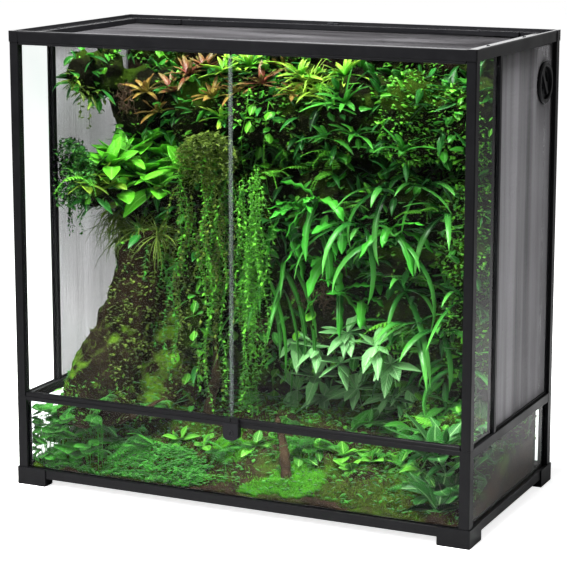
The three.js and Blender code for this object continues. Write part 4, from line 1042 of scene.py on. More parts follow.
def limb(path, radii, sides=14):
    """A round limb: a disc that is drawn out along a path and resized at each step."""
    deselect()
    bpy.ops.mesh.primitive_circle_add(vertices=sides, radius=radii[0], fill_type="NGON", location=path[0])
    piece = bpy.context.object
    bpy.ops.object.transform_apply(location=True)
    bpy.ops.object.mode_set(mode="EDIT")
    bpy.ops.mesh.select_all(action="SELECT")
    for start, end, before, after in zip(path, path[1:], radii, radii[1:]):
        bpy.ops.mesh.extrude_region_move(TRANSFORM_OT_translate={"value": tuple(np.subtract(end, start))})
        share = after / before
        bpy.ops.transform.resize(value=(share, share, 1), center_override=end)
    bpy.ops.mesh.select_all(action="SELECT")
    bpy.ops.mesh.normals_make_consistent(inside=False)
    bpy.ops.object.mode_set(mode="OBJECT")
    return piece


class TERRARIUM_OT_buttress(bpy.types.Operator):
    """Adds the trunk's buttress, which slopes up the left-hand end, and the driftwood"""

    bl_idname = "terrarium.buttress"
    bl_label = "Buttress and driftwood"

    def execute(self, context):
        bark, moss = settings("plant").bark, tuple(settings("plant").moss)
        dark_bark = earthy(
            "buttress_bark", times(bark, 0.08), times(bark, 0.42), moss,
            moss_share=0.36, scale=24.0, bump=0.006, up_moss=0.15,
        )
        wood = earthy(
            "driftwood", (0.010, 0.006, 0.004), (0.070, 0.044, 0.024), moss,
            moss_share=0.30, scale=34.0, bump=0.003,
        )
        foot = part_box("tree_trunk")[0].z + 0.01
        piece = limb([(*BUTTRESS_FOOT, foot), *BUTTRESS_PATH], BUTTRESS_RADII)
        carve(piece, BUTTRESS_LAYERS, voxel=0.0045)
        settle(piece, "buttress_bark", dark_bark, "cabinet")
        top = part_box("soil_bed")[1].z
        for index, log in enumerate(DRIFTWOOD):
            piece = limb([(x, y, top + z) for x, y, z in log], DRIFTWOOD_RADII, sides=10)
            carve(piece, DRIFTWOOD_LAYERS, voxel=0.0025)
            settle(piece, f"driftwood_{index}", wood, "cabinet")
        return {"FINISHED"}


class TERRARIUM_OT_shaded_undergrowth(bpy.types.Operator):
    """Makes the mass of stems and moss behind the leaves, painted near black as the shade deep in the
    planting
    """

    bl_idname = "terrarium.undergrowth"
    bl_label = "Undergrowth"

    def execute(self, context):
        # Nearly black browns and a dimmed moss: painted shade for the inside of the planting, on a mass
        # that also carries the leaves.
        dark = earthy(
            "undergrowth_moss", (0.002, 0.002, 0.001), (0.010, 0.011, 0.004),
            times(settings("plant").moss, 0.22), moss_share=0.42, scale=26.0, bump=0.006, up_moss=0.1,
        )
        piece = copy_of("foliage")
        apply_modifier(piece, "DISPLACE", strength=-SHRINK, mid_level=0.0)
        carve(piece, UNDERGROWTH_LAYERS, voxel=0.008)
        settle(piece, "undergrowth", dark, "cabinet")
        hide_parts("foliage")
        return {"FINISHED"}


# ---- Plants ----------------------------------------------------------------------------------

CARRIERS = ("carved_wall", "soil_mounds", "trunk_bark", "buttress_bark", "undergrowth")
FOUND = {}  # the ground and each kind of leaf, once they are made
FRONT = -math.pi / 2
TURN = 2.39996  # from one leaf of a rosette to the next
STALK = 1  # the slot of the stalks in a piece whose leaves come first

# Places in the picture, in its own pixels. A plant is a point (across, down) where it is rooted.
# A ring is (across, down, half width, half height) round planting that is bare or of one kind.
BARE_RINGS = (
    (128, 90, 26, 34), (312, 282, 30, 34), (238, 385, 42, 62), (120, 330, 70, 90), (330, 325, 34, 18),
    (370, 305, 30, 30),
)
TINY_LEAF_RINGS = ((425, 122, 48, 66), (143, 58, 36, 12), (250, 95, 40, 30), (470, 250, 30, 150))
TRUNK_RINGS = ((84, 330, 56, 110), (150, 330, 44, 90))
COVER_RINGS = ((154, 472, 52, 26), (60, 480, 40, 16))
MOSS_BANK_RINGS = ((310, 145, 40, 38), (128, 95, 16, 22), (76, 95, 16, 16), (200, 120, 36, 16))
MOSS_CUSHION_RINGS = ((274, 497, 38, 18), (298, 480, 26, 16), (231, 450, 18, 13))
MOSS_SLOPE_RINGS = ((380, 500, 60, 20), (110, 482, 70, 16))
CREEPER_BALL = (66, 172, 28, 34)
CREEPER_BALL_FOOT = (66, 190, 20, 10)
CURTAIN_CROWN = (207, 158, 30, 26)
ROUND_LEAVES = (66, 436, 46, 36)
HIGH_ROUND_LEAVES = (84, 388, 30, 12)
TOP_VINE = ((62, 56), (68, 64), (76, 76), (84, 86), (93, 94), (100, 106))
RED_BROMELIADS = ((189, 76), (262, 84), (172, 92), (205, 70))
GOLD_BROMELIADS = ((158, 112), (213, 98), (236, 92), (294, 94), (180, 66), (146, 92), (285, 70))
GREEN_BROMELIADS = ((225, 72), (250, 66), (268, 62), (345, 76), (222, 118), (300, 76))
BROAD_ROSETTES = (
    (126, 150), (150, 142), (168, 158), (112, 166), (140, 176), (160, 188), (182, 170), (122, 192),
)
PALE_ROSETTES = ((100, 176), (84, 184), (110, 184), (166, 184), (118, 206))
GRASS_CLUMPS = ((108, 226), (125, 236), (95, 232), (140, 230), (158, 236), (118, 214))
HEART_LEAVES = (
    (204, 256), (202, 278), (207, 294), (222, 252), (224, 286), (214, 345), (228, 357), (218, 384),
    (206, 405), (295, 294), (317, 311), (289, 373), (280, 368), (276, 389), (251, 417), (284, 418),
    (256, 343), (198, 300), (196, 330), (236, 330), (246, 372), (262, 402), (300, 330), (190, 372),
    (180, 352), (232, 412), (300, 408), (205, 368), (222, 322),
)
OVAL_VINES = ((256, 103), (251, 120), (273, 111), (271, 133), (262, 146), (282, 150), (246, 134))
STRIPED_GRASS = ((306, 96), (316, 92), (322, 100), (309, 84))
STRAP_FANS = ((331, 108), (345, 104), (326, 138), (356, 136), (378, 152), (403, 152), (338, 160))
WAVY_FERNS = (
    (286, 205), (305, 212), (322, 232), (345, 222), (368, 236), (330, 258), (300, 246), (350, 262),
    (372, 268), (318, 200), (288, 232), (392, 228), (340, 290), (362, 300),
)
ARCHING_STRAPS = (
    (364, 226), (389, 190), (424, 186), (446, 214), (405, 292), (436, 262), (463, 300),
    (440, 330), (412, 330), (456, 368), (396, 246),
)
HANGING_STRAPS = ((258, 262), (266, 268), (275, 258), (286, 256), (296, 264), (270, 288), (284, 290))
PALE_STRAPS = ((256, 150), (264, 148), (272, 150), (282, 154), (290, 160))
SILVER_STARS = (
    (328, 356), (322, 384), (334, 404), (379, 354), (418, 392), (352, 372), (396, 372), (362, 396),
    (304, 346), (308, 398), (402, 412), (346, 340), (388, 402),
)
LOW_BROAD = (
    (204, 446), (256, 446), (276, 440), (318, 450), (344, 456), (300, 456), (372, 462), (400, 466),
    (420, 470), (180, 440), (352, 470), (240, 432),
)
DARK_BROAD = (
    (392, 434), (410, 428), (424, 440), (384, 420), (440, 420), (450, 404), (368, 424), (352, 432),
)
VEINED_LEAVES = ((452, 500), (438, 512), (460, 482), (446, 474), (432, 498))
ROOT_TANGLES = (
    (240, 160), (312, 262), (325, 296), (296, 300), (240, 392), (128, 96), (334, 270), (262, 330),
)
SOIL_TUFTS = (
    (126, 444), (140, 436), (154, 446), (224, 452), (238, 446), (300, 440), (330, 446), (60, 430),
)

# More veined leaves in the right-hand corner, where the picture doesn't look: places in metres.
CORNER_LEAVES = ((0.37, -0.10, 0.135), (0.38, 0.02, 0.135), (0.39, 0.12, 0.135), (0.36, -0.15, 0.135))

BALL_DEPTH = -0.05  # the Y at which the creeper ball hangs
BALL_LEAVES = 3200
CROWN_LEAVES = 1500
COVER_LEAVES = 4400
WALL_FERNS = 70


def ground():
    if "ground" not in FOUND:
        FOUND["ground"] = Ground([bpy.data.objects[name] for name in CARRIERS])
    return FOUND["ground"]


def shape(kind):
    """One leaf of each kind, modelled the first time that it is asked for: its widths from stalk to
    tip, how far its rib sinks, how thick it is and, for some, how far its edge waves."""
    made = {
        "broad": lambda: leaf_shape((0.14, 0.50, 0.92, 1.12, 0.98, 0.62, 0.10), 0.14, 0.02, rounded=True),
        "strap": lambda: leaf_shape((0.45, 0.8, 1, 1, 1, 0.95, 0.8, 0.55, 0.06), 0.16, 0.05),
        "wavy": lambda: leaf_shape((0.25, 0.8, 1.0, 0.82, 1.0, 0.8, 0.9, 0.6, 0.08), 0.05, 0.03, 0.13),
        "oval": lambda: leaf_shape((0.08, 0.8, 1.0, 0.75, 0.05), 0.10, 0.03),
        "round": lambda: leaf_shape((0.35, 0.9, 1.05, 0.95, 0.35), 0.06, 0.03),
        "lance": lambda: leaf_shape((0.15, 0.8, 1.0, 0.6, 0.04), 0.14, 0.05),
        "small": lambda: leaf_shape((0.25, 1.0, 0.2), 0.0, 0.06, columns=1),
        "grass": lambda: leaf_shape((0.8, 1.0, 0.9, 0.6, 0.1), 0.0, 0.15, columns=1),
        "needle": tuft_shape,
    }
    if kind not in FOUND:
        FOUND[kind] = made[kind]()
    return FOUND[kind]


def between(random, low, high, count=None):
    return low + (high - low) * random.random(count)


def outward(normals):
    """The compass angle that each surface faces; the front where it faces straight up."""
    flat = np.hypot(normals[:, 0], normals[:, 1]) < 0.25
    return np.where(flat, FRONT, np.arctan2(normals[:, 1], normals[:, 0]))


def ringed(points, rings):
    """Which points the picture shows inside any of the rings."""
    spots = ground().pictured(points)
    inside = np.zeros(len(points), bool)
    for across, down, wide, high in rings:
        inside |= ((spots[:, 0] - across) / wide) ** 2 + ((spots[:, 1] - down) / high) ** 2 < 1
    return inside


def ring_spots(random, ring, count):
    """Random places in the picture inside a ring."""
    across, down, wide, high = ring
    angle = 2 * math.pi * random.random(count)
    reach = np.sqrt(random.random(count))
    return np.stack([across + wide * reach * np.cos(angle), down + high * reach * np.sin(angle)], axis=-1)


def rosette(growth, random, kind, base, facing, count, length, width, rise=(1.2, 0.2), bend=(0.5, 1.3),
            lean=0.5, tint=(0.2, 0.9)):
    """Leaves all round one root: the inner ones short and steep, the outer ones long and low."""
    order = np.linspace(0, 1, count)
    yaw = facing + np.arange(count) * TURN + 0.3 * random.standard_normal(count)
    steep = rise[0] + (rise[1] - rise[0]) * order - lean * np.cos(yaw - facing)
    growth.blades(
        shape(kind),
        np.repeat(base[None], count, axis=0),
        yaw,
        rise=steep + 0.12 * random.standard_normal(count),
        bend=between(random, *bend, count),
        length=between(random, *length, count) * (0.6 + 0.4 * order),
        width=between(random, *width, count),
        tint=between(random, *tint, count),
        roll=0.25 * random.standard_normal(count),
    )


def planted(random, name, tone, kind, spots, count, look=None, turn=0.35, **leaf):
    """Rosettes rooted where the picture shows them, as one piece."""
    growth = Growth()
    for base in ground().seen(spots):
        facing = FRONT + turn * random.standard_normal()
        rosette(growth, random, kind, base, facing, count, **leaf)
    growth.finish(name, leaves(name, tone, **(look or {})))


def strands(growth, random, tops, lengths, pitch, size, kind="small", sway=0.006, stem=0.0005,
            tint=(0.1, 1.0), droop=(-0.9, 0.4)):
    """Hanging strands: a thin wavering stem each, with small leaves all the way down."""
    for top, length in zip(tops, lengths):
        count = max(4, int(length / pitch))
        down = np.linspace(0, length, count)
        phase, speed = random.random(2) * 2 * math.pi, between(random, 14, 34, 2)
        path = np.stack(
            [
                top[0] + sway * (np.sin(down * speed[0] + phase[0]) - math.sin(phase[0])),
                top[1] + sway * (np.sin(down * speed[1] + phase[1]) - math.sin(phase[1])),
                top[2] - down,
            ],
            axis=-1,
        )
        growth.stem(path[:: max(1, count // 12)], stem, sides=3, slot=STALK)
        growth.blades(
            shape(kind),
            path,
            yaw=np.arange(count) * TURN + random.random(count),
            rise=between(random, *droop, count),
            bend=0.4,
            length=size * between(random, 0.6, 1.3, count),
            width=0.75 * size * between(random, 0.6, 1.2, count),
            tint=between(random, *tint, count),
            roll=random.standard_normal(count) * 0.4,
        )


def frond(growth, random, base, yaw, rise, bend, length, tint, pairs=12, leaflet=(0.014, 0.0055)):
    """A fern frond: a stem on an arc with pairs of leaflets, each of a length and width."""
    t = np.linspace(0.12, 0.98, pairs)
    angle = rise - bend * t
    out = length * (math.sin(rise) - np.sin(angle)) / bend
    up = length * (np.cos(angle) - math.cos(rise)) / bend
    path = base + np.stack([out * math.cos(yaw), out * math.sin(yaw), up], axis=-1)
    rib = np.concatenate([base[None], path])[::2]
    growth.stem(rib, radius=0.0008, sides=3, tint=tint, slot=STALK)
    profile = np.sin(np.clip(t * 1.15 + 0.25, 0, 1) * math.pi) ** 0.6 + 0.08
    for side in (-1, 1):
        growth.blades(
            shape("small"),
            path,
            yaw=yaw + side * (1.25 - 0.5 * t),
            rise=0.35 * angle - 0.1,
            bend=0.35,
            length=leaflet[0] * profile * between(random, 0.9, 1.1, pairs),
            width=leaflet[1],
            tint=tint + 0.1 * random.standard_normal(pairs),
            roll=-side * 0.2,
        )


def fronds(random, name, tone, bases, facings, each, length):
    """Ferns as one piece: a few fronds from each root."""
    growth = Growth()
    for base, facing in zip(bases, facings):
        for _ in range(each):
            frond(
                growth,
                random,
                base,
                yaw=facing + 0.9 * random.standard_normal(),
                rise=between(random, 0.1, 1.1),
                bend=between(random, 0.6, 1.6),
                length=between(random, *length),
                tint=between(random, 0.1, 0.9),
            )
    growth.finish(name, [leaves(name, tone), stalks()])


def tangle(growth, random, centre, reach, count, steps=14):
    """Thin roots that wander out from one place and hang."""
    for _ in range(count):
        walk = np.cumsum(random.standard_normal((steps, 3)) * (0.24, 0.16, 0.24), axis=0)
        walk[:, 2] -= np.linspace(0, 1.4, steps)
        walk[:, 1] -= 0.12
        path = centre + reach * 0.45 * (walk - walk[0])
        growth.stem(path, radius=between(random, 0.0005, 0.0014), sides=4, tint=random.random())


def stalked(growth, random, points, kind, length, share, rise=(-0.2, 0.5), tint=(0.2, 1.0)):
    """Leaves each held at a point by a thin stalk that rises from the ground below or behind."""
    tree = ground().tree
    for point in points:
        foot = tree.ray_cast(Vector(point), Vector((0, 0, -1)))[0]
        if foot is None or point[2] - foot.z > 0.2:
            foot = tree.find_nearest(Vector(point))[0]
        foot = np.array(foot)
        middle = (foot + point) / 2 + (0.004 * random.standard_normal(), -0.004, 0.006)
        path = np.array([foot, middle, point])
        growth.stem(path, radius=0.0006, sides=4, tint=random.random(), slot=STALK)
    count = len(points)
    long = between(random, *length, count)
    growth.blades(
        shape(kind),
        points,
        yaw=FRONT + 1.3 * random.standard_normal(count),
        rise=between(random, *rise, count),
        bend=between(random, 0.2, 0.8, count),
        length=long,
        width=share * long,
        tint=between(random, *tint, count),
        roll=0.3 * random.standard_normal(count),
    )


# Each tone of leaf: its dark, its light and its rib.
GREENS = {
    "bright": ((0.012, 0.110, 0.005), (0.130, 0.500, 0.028), (0.26, 0.56, 0.12)),
    "mid": ((0.006, 0.060, 0.006), (0.050, 0.310, 0.024), (0.13, 0.38, 0.09)),
    "deep": ((0.003, 0.024, 0.004), (0.018, 0.140, 0.018), (0.06, 0.22, 0.05)),
    "lime": ((0.080, 0.190, 0.008), (0.330, 0.560, 0.045), (0.45, 0.62, 0.16)),
    "olive": ((0.014, 0.032, 0.003), (0.120, 0.200, 0.020), (0.18, 0.26, 0.05)),
    "silver": ((0.040, 0.180, 0.040), (0.230, 0.560, 0.190), (0.40, 0.66, 0.33)),
    "red": ((0.035, 0.010, 0.007), (0.230, 0.060, 0.035), (0.26, 0.13, 0.06)),
    "gold": ((0.040, 0.040, 0.006), (0.270, 0.210, 0.035), (0.34, 0.28, 0.09)),
    "veined": ((0.004, 0.045, 0.006), (0.020, 0.170, 0.018), (0.22, 0.46, 0.16)),
}


def leaves(name, tone, **more):
    dark, light, rib = GREENS[tone]
    return leafy(name, dark, light, rib, **more)


def stalks():
    if "stalk" not in bpy.data.materials:
        leafy("stalk", (0.030, 0.030, 0.008), (0.10, 0.085, 0.025), (0.10, 0.10, 0.03))
    return bpy.data.materials["stalk"]


class TERRARIUM_OT_cover_leaves(bpy.types.Operator):
    """Scatters the mixed leaves, creepers and ferns that cover the undergrowth"""

    bl_idname = "terrarium.cover_leaves"
    bl_label = "Covering leaves"

    def execute(self, context):
        density = settings("plant").density
        random = seeded(10)

        def grown(points, normals):
            return (normals[:, 1] < 0.35) & (points[:, 2] > 0.12) & ~ringed(points, BARE_RINGS)

        def tiny(points, normals):
            share = np.where(ringed(points, TINY_LEAF_RINGS), 1.0, 0.07)
            bare = ringed(points, BARE_RINGS[:1] + TRUNK_RINGS)
            return share * (normals[:, 1] < 0.4) * (points[:, 2] > 0.10) * ~bare

        def barked(points, normals):
            return (normals[:, 1] < 0.3) * ringed(points, TRUNK_RINGS[1:])

        def banked(points, normals):
            return (0.15 + ringed(points, MOSS_BANK_RINGS)) * ~ringed(points, TRUNK_RINGS)

        # Each: its name, leaf, tone, count, length, width as a share of it, and where it grows.
        for name, kind, tone, count, length, share, test in (
            ("cover_oval", "oval", "mid", 1000, (0.016, 0.036), (0.5, 0.7), grown),
            ("cover_bright", "oval", "bright", 480, (0.014, 0.030), (0.5, 0.7), grown),
            ("cover_lance", "lance", "deep", 1300, (0.022, 0.055), (0.22, 0.32), grown),
            ("trunk_creepers", "small", "olive", 3600, (0.005, 0.010), (0.7, 1.0), barked),
            ("tiny_leaves", "small", "bright", 8500, (0.005, 0.011), (0.6, 0.9), tiny),
            ("tiny_olive_leaves", "small", "olive", 6000, (0.004, 0.009), (0.5, 0.9), banked),
        ):
            count = int(count * density)
            base, normals = ground().spread(random, count, test)
            long = between(random, *length, count)
            growth = Growth()
            growth.blades(
                shape(kind),
                base - 0.002 * normals,
                yaw=outward(normals) + 0.9 * random.standard_normal(count),
                rise=0.5 * normals[:, 2] + between(random, -0.5, 0.9, count),
                bend=between(random, 0.2, 1.1, count),
                length=long,
                width=long * between(random, *share, count),
                tint=random.random(count),
                roll=0.4 * random.standard_normal(count),
            )
            growth.finish(name, leaves(name, tone))
        base, normals = ground().spread(random, int(WALL_FERNS * density), grown)
        fronds(random, "wall_ferns", "bright", base, outward(normals), 3, (0.05, 0.10))
        return {"FINISHED"}


class TERRARIUM_OT_bromeliads(bpy.types.Operator):
    """Roots the red, golden and green bromeliads along the top of the wall"""

    bl_idname = "terrarium.bromeliads"
    bl_label = "Bromeliads"

    def execute(self, context):
        random = seeded(25)
        for name, tone, tip, spots in (
            ("red_bromeliads", "red", (0.09, 0.11, 0.02), RED_BROMELIADS),
            ("gold_bromeliads", "gold", (0.17, 0.07, 0.025), GOLD_BROMELIADS),
            ("green_bromeliads", "bright", (0.30, 0.42, 0.04), GREEN_BROMELIADS),
        ):
            planted(
                random, name, tone, "strap", spots, 15, {"tip": tip},
                length=(0.045, 0.068), width=(0.008, 0.012), rise=(1.3, 0.25), bend=(0.3, 0.9), lean=0.35,
            )
        return {"FINISHED"}


class TERRARIUM_OT_left_plants(bpy.types.Operator):
    """Plants the left half: broad rosettes, grass, the creeper ball and the top vine"""

    bl_idname = "terrarium.left_plants"
    bl_label = "Left-hand plants"

    def execute(self, context):
        random = seeded(30)
        planted(
            random, "broad_rosettes", "bright", "broad", BROAD_ROSETTES, 11,
            {"rough": 0.28, "tip": (0.10, 0.50, 0.02)},
            length=(0.066, 0.098), width=(0.025, 0.034), rise=(1.35, 0.35), bend=(0.3, 1.0), lean=0.35,
        )
        planted(
            random, "pale_rosettes", "lime", "broad", PALE_ROSETTES, 7,
            length=(0.040, 0.060), width=(0.017, 0.024), rise=(0.9, 0.0), bend=(0.4, 1.2), lean=0.4,
        )
        planted(
            random, "grass_clump", "olive", "grass", GRASS_CLUMPS, 75,
            length=(0.05, 0.12), width=(0.0016, 0.0028), rise=(1.2, -0.6), bend=(0.5, 2.2), lean=0.3,
        )

        growth = Growth()
        spots = ring_spots(random, CREEPER_BALL, BALL_LEAVES)
        base = ground().at_depth(spots, BALL_DEPTH + 0.11 * (random.random(BALL_LEAVES) - 0.5))
        base[::2] = ground().seen(spots[::2])
        growth.blades(
            shape("small"),
            base,
            yaw=2 * math.pi * random.random(BALL_LEAVES),
            rise=between(random, -0.8, 0.8, BALL_LEAVES),
            bend=0.5,
            length=between(random, 0.007, 0.014, BALL_LEAVES),
            width=between(random, 0.006, 0.010, BALL_LEAVES),
            tint=random.random(BALL_LEAVES),
        )
        tops = ground().at_depth(ring_spots(random, CREEPER_BALL_FOOT, 16), BALL_DEPTH)
        strands(growth, random, tops, between(random, 0.03, 0.09, 16), pitch=0.004, size=0.007)
        ball = leaves("creeper_ball", "deep", rough=0.22, tip=(0.10, 0.30, 0.05))
        growth.finish("creeper_ball", [ball, stalks()])

        growth = Growth()
        vine = ground().seen(TOP_VINE) + (0, -0.012, 0)
        growth.stem(vine, radius=0.0012, slot=STALK)
        count = 9 * len(vine)
        growth.blades(
            shape("lance"),
            np.repeat(vine, 9, axis=0) + 0.007 * random.standard_normal((count, 3)),
            yaw=FRONT + 1.2 * random.standard_normal(count),
            rise=between(random, -0.7, 0.6, count),
            bend=0.5,
            length=between(random, 0.016, 0.028, count),
            width=0.007,
            tint=random.random(count),
        )
        strands(growth, random, vine[-5:], between(random, 0.03, 0.10, 5), pitch=0.006, size=0.009)
        growth.finish("top_vine", [leaves("top_vine", "olive"), stalks()])
        return {"FINISHED"}


class TERRARIUM_OT_curtains(bpy.types.Operator):
    """Hangs the curtains of creepers in the middle, and the roots and heart-shaped leaves with them"""

    bl_idname = "terrarium.curtains"
    bl_label = "Hanging curtains"

    def execute(self, context):
        random = seeded(35)
        # Each: its name, tone, the ring that its strands hang from, their count and their lengths.
        for name, tone, ring, count, reach in (
            ("left_curtain", "olive", (204, 176, 32, 30), 30, (0.10, 0.40)),
            ("left_curtain_tips", "bright", (202, 182, 33, 34), 22, (0.16, 0.46)),
            ("right_curtain", "bright", (250, 196, 14, 34), 34, (0.14, 0.40)),
            ("trunk_curtain", "mid", (146, 262, 30, 26), 26, (0.06, 0.24)),
        ):
            growth = Growth()
            tops = ground().at_depth(ring_spots(random, ring, count), between(random, -0.05, 0.03, count))
            strands(
                growth, random, tops, between(random, *reach, count),
                pitch=0.0044, size=0.0078, sway=0.010, tint=(-0.3, 1.0),
            )
            growth.finish(name, [leaves(name, tone), stalks()])

        growth = Growth()
        spots = ring_spots(random, CURTAIN_CROWN, CROWN_LEAVES)
        growth.blades(
            shape("small"),
            ground().at_depth(spots, between(random, -0.06, 0.03, CROWN_LEAVES)),
            yaw=2 * math.pi * random.random(CROWN_LEAVES),
            rise=between(random, -0.6, 0.9, CROWN_LEAVES),
            bend=0.5,
            length=between(random, 0.006, 0.013, CROWN_LEAVES),
            width=0.006,
            tint=between(random, 0.0, 0.8, CROWN_LEAVES),
        )
        growth.finish("curtain_crown", leaves("curtain_crown", "olive"))

        growth = Growth()
        bases = ground().seen(HEART_LEAVES + OVAL_VINES)
        count = len(bases)
        growth.blades(
            shape("oval"),
            bases + (0, -0.008, 0),
            yaw=FRONT + 0.5 * random.standard_normal(count),
            rise=between(random, -1.1, -0.4, count),
            bend=0.3,
            length=between(random, 0.020, 0.028, count),
            width=between(random, 0.016, 0.021, count),
            tint=random.random(count),
            roll=0.3 * random.standard_normal(count),
        )
        tops = bases[::2] + (0, -0.010, 0.06)
        strands(
            growth, random, tops, between(random, 0.08, 0.2, len(tops)),
            pitch=0.03, size=0.014, kind="oval", stem=0.0006,
        )
        growth.finish("heart_leaves", [leaves("heart_leaves", "bright"), stalks()])

        growth = Growth()
        for base in ground().seen(ROOT_TANGLES):
            tangle(growth, random, base + (0, -0.006, 0.02), reach=0.05, count=26)
        bark = tuple(settings("plant").bark)
        roots = leafy("roots", times(bark, 0.3), times(bark, 1.6), bark, rough=0.8)
        growth.finish("root_tangles", roots, "bark")
        return {"FINISHED"}


class TERRARIUM_OT_right_plants(bpy.types.Operator):
    """Plants the right half: wavy ferns, arching and hanging straps, silver stars and veined leaves"""

    bl_idname = "terrarium.right_plants"
    bl_label = "Right-hand plants"

    def execute(self, context):
        random = seeded(40)
        planted(
            random, "striped_grass", "lime", "grass", STRIPED_GRASS, 26,
            length=(0.05, 0.085), width=(0.0025, 0.004), rise=(1.4, 0.3), bend=(0.3, 1.5), lean=0.2,
        )
        planted(
            random, "strap_fans", "mid", "strap", STRAP_FANS, 13, {"veins": 3.0},
            length=(0.055, 0.10), width=(0.009, 0.013), rise=(1.3, 0.3), bend=(0.3, 1.2), lean=0.25,
        )
        # The deep green blades are painted bright at their tips as light on the ends that reach out, and
        # dark at the base as painted shade in the crown.
        planted(
            random, "arching_straps", "deep", "strap", ARCHING_STRAPS, 10,
            {"rough": 0.22, "tip": (0.10, 0.42, 0.06)}, turn=0.8, tint=(-0.2, 1.0),
            length=(0.11, 0.23), width=(0.008, 0.013), rise=(1.0, -0.1), bend=(0.8, 2.2), lean=0.3,
        )
        planted(
            random, "hanging_straps", "mid", "strap", HANGING_STRAPS, 5, {"rough": 0.28}, turn=0.1,
            length=(0.16, 0.29), width=(0.007, 0.011), rise=(0.1, -0.5), bend=(1.0, 1.5), lean=0.15,
        )
        planted(
            random, "pale_straps", "silver", "strap", PALE_STRAPS, 6,
            length=(0.05, 0.09), width=(0.005, 0.008), rise=(0.2, -0.5), bend=(0.8, 1.4), lean=0.2,
        )
        planted(
            random, "wavy_ferns", "mid", "wavy", WAVY_FERNS, 9,
            {"rough": 0.26, "tip": (0.05, 0.40, 0.03)}, turn=0.9, tint=(-0.2, 1.1),
            length=(0.070, 0.135), width=(0.014, 0.021), rise=(0.9, -0.3), bend=(0.4, 1.6), lean=0.3,
        )

        growth = Growth()
        for base in ground().seen(SILVER_STARS):
            crown = base + (0.01 * random.standard_normal(), -0.022, 0.02)
            middle = (base + crown) / 2 + (0, -0.004, 0)
            path = np.array([base + (0, 0.004, -0.03), middle, crown])
            growth.stem(path, radius=0.0014, tint=0.7, slot=STALK)
            rosette(
                growth, random, "lance", crown, FRONT, 9,
                length=(0.058, 0.080), width=(0.018, 0.025), rise=(0.7, 0.2), bend=(0.2, 0.8), lean=0.75,
                tint=(0.4, 1.0),
            )
        growth.finish("silver_stars", [leaves("silver_stars", "silver", veins=7.0), stalks()])

        planted(
            random, "dark_broad_leaves", "mid", "broad", DARK_BROAD, 8, {"veins": 6.0},
            length=(0.045, 0.075), width=(0.018, 0.026), rise=(1.0, 0.0), bend=(0.4, 1.2), lean=0.5,
        )
        planted(
            random, "low_broad_leaves", "bright", "broad", LOW_BROAD, 7, {"veins": 6.0}, tint=(-0.3, 0.9),
            length=(0.030, 0.055), width=(0.015, 0.024), rise=(1.2, 0.2), bend=(0.4, 1.2), lean=0.4,
        )

        growth = Growth()
        for base in np.concatenate([ground().seen(VEINED_LEAVES), CORNER_LEAVES]):
            rosette(
                growth, random, "broad", base, FRONT + 0.8, 8,
                length=(0.075, 0.115), width=(0.026, 0.036), rise=(1.3, 0.6), bend=(0.4, 1.0), lean=0.3,
            )
        growth.finish("veined_leaves", leaves("veined_leaves", "veined", veins=11.0))
        return {"FINISHED"}


class TERRARIUM_OT_soil_plants(bpy.types.Operator):
    """Plants the soil: round leaves at the left, ground cover and fern tufts"""

    bl_idname = "terrarium.soil_plants"
    bl_label = "Plants on the soil"

    def execute(self, context):
        random = seeded(50)
        growth = Growth()
        spots = ring_spots(random, ROUND_LEAVES, 200)
        # They stand against the front glass at the left, and further back to the right.
        back = 0.15 * random.random(len(spots)) * np.clip((spots[:, 0] - 34) / 60, 0, 1)
        points = ground().at_depth(spots, -0.19 + back)
        stalked(growth, random, points, "round", length=(0.020, 0.030), share=0.95)
        spots = ring_spots(random, HIGH_ROUND_LEAVES, 26)
        points = ground().at_depth(spots, between(random, -0.10, 0.0, len(spots)))
        stalked(growth, random, points, "round", length=(0.018, 0.026), share=0.95)
        growth.finish("round_leaves", [leaves("round_leaves", "mid", veins=4.0), stalks()])

        def flat(points, normals):
            return (normals[:, 2] > 0.2) & (points[:, 2] < 0.2)

        def cover(points, normals):
            return flat(points, normals) * np.where(ringed(points, COVER_RINGS), 1.0, 0.06)

        base, _ = ground().spread(random, COVER_LEAVES, cover)
        growth = Growth()
        growth.blades(
            shape("small"),
            base + (0, 0, 0.004),
            yaw=2 * math.pi * random.random(COVER_LEAVES),
            rise=between(random, -0.1, 0.8, COVER_LEAVES),
            bend=0.4,
            length=between(random, 0.007, 0.012, COVER_LEAVES),
            width=between(random, 0.006, 0.009, COVER_LEAVES),
            tint=random.random(COVER_LEAVES),
        )
        growth.finish("ground_cover", leaves("ground_cover", "mid"))

        scattered, _ = ground().spread(random, 16, flat)
        roots = np.concatenate([ground().seen(SOIL_TUFTS), scattered])
        fronds(random, "soil_ferns", "mid", roots, np.full(len(roots), FRONT), 6, (0.05, 0.09))
        return {"FINISHED"}


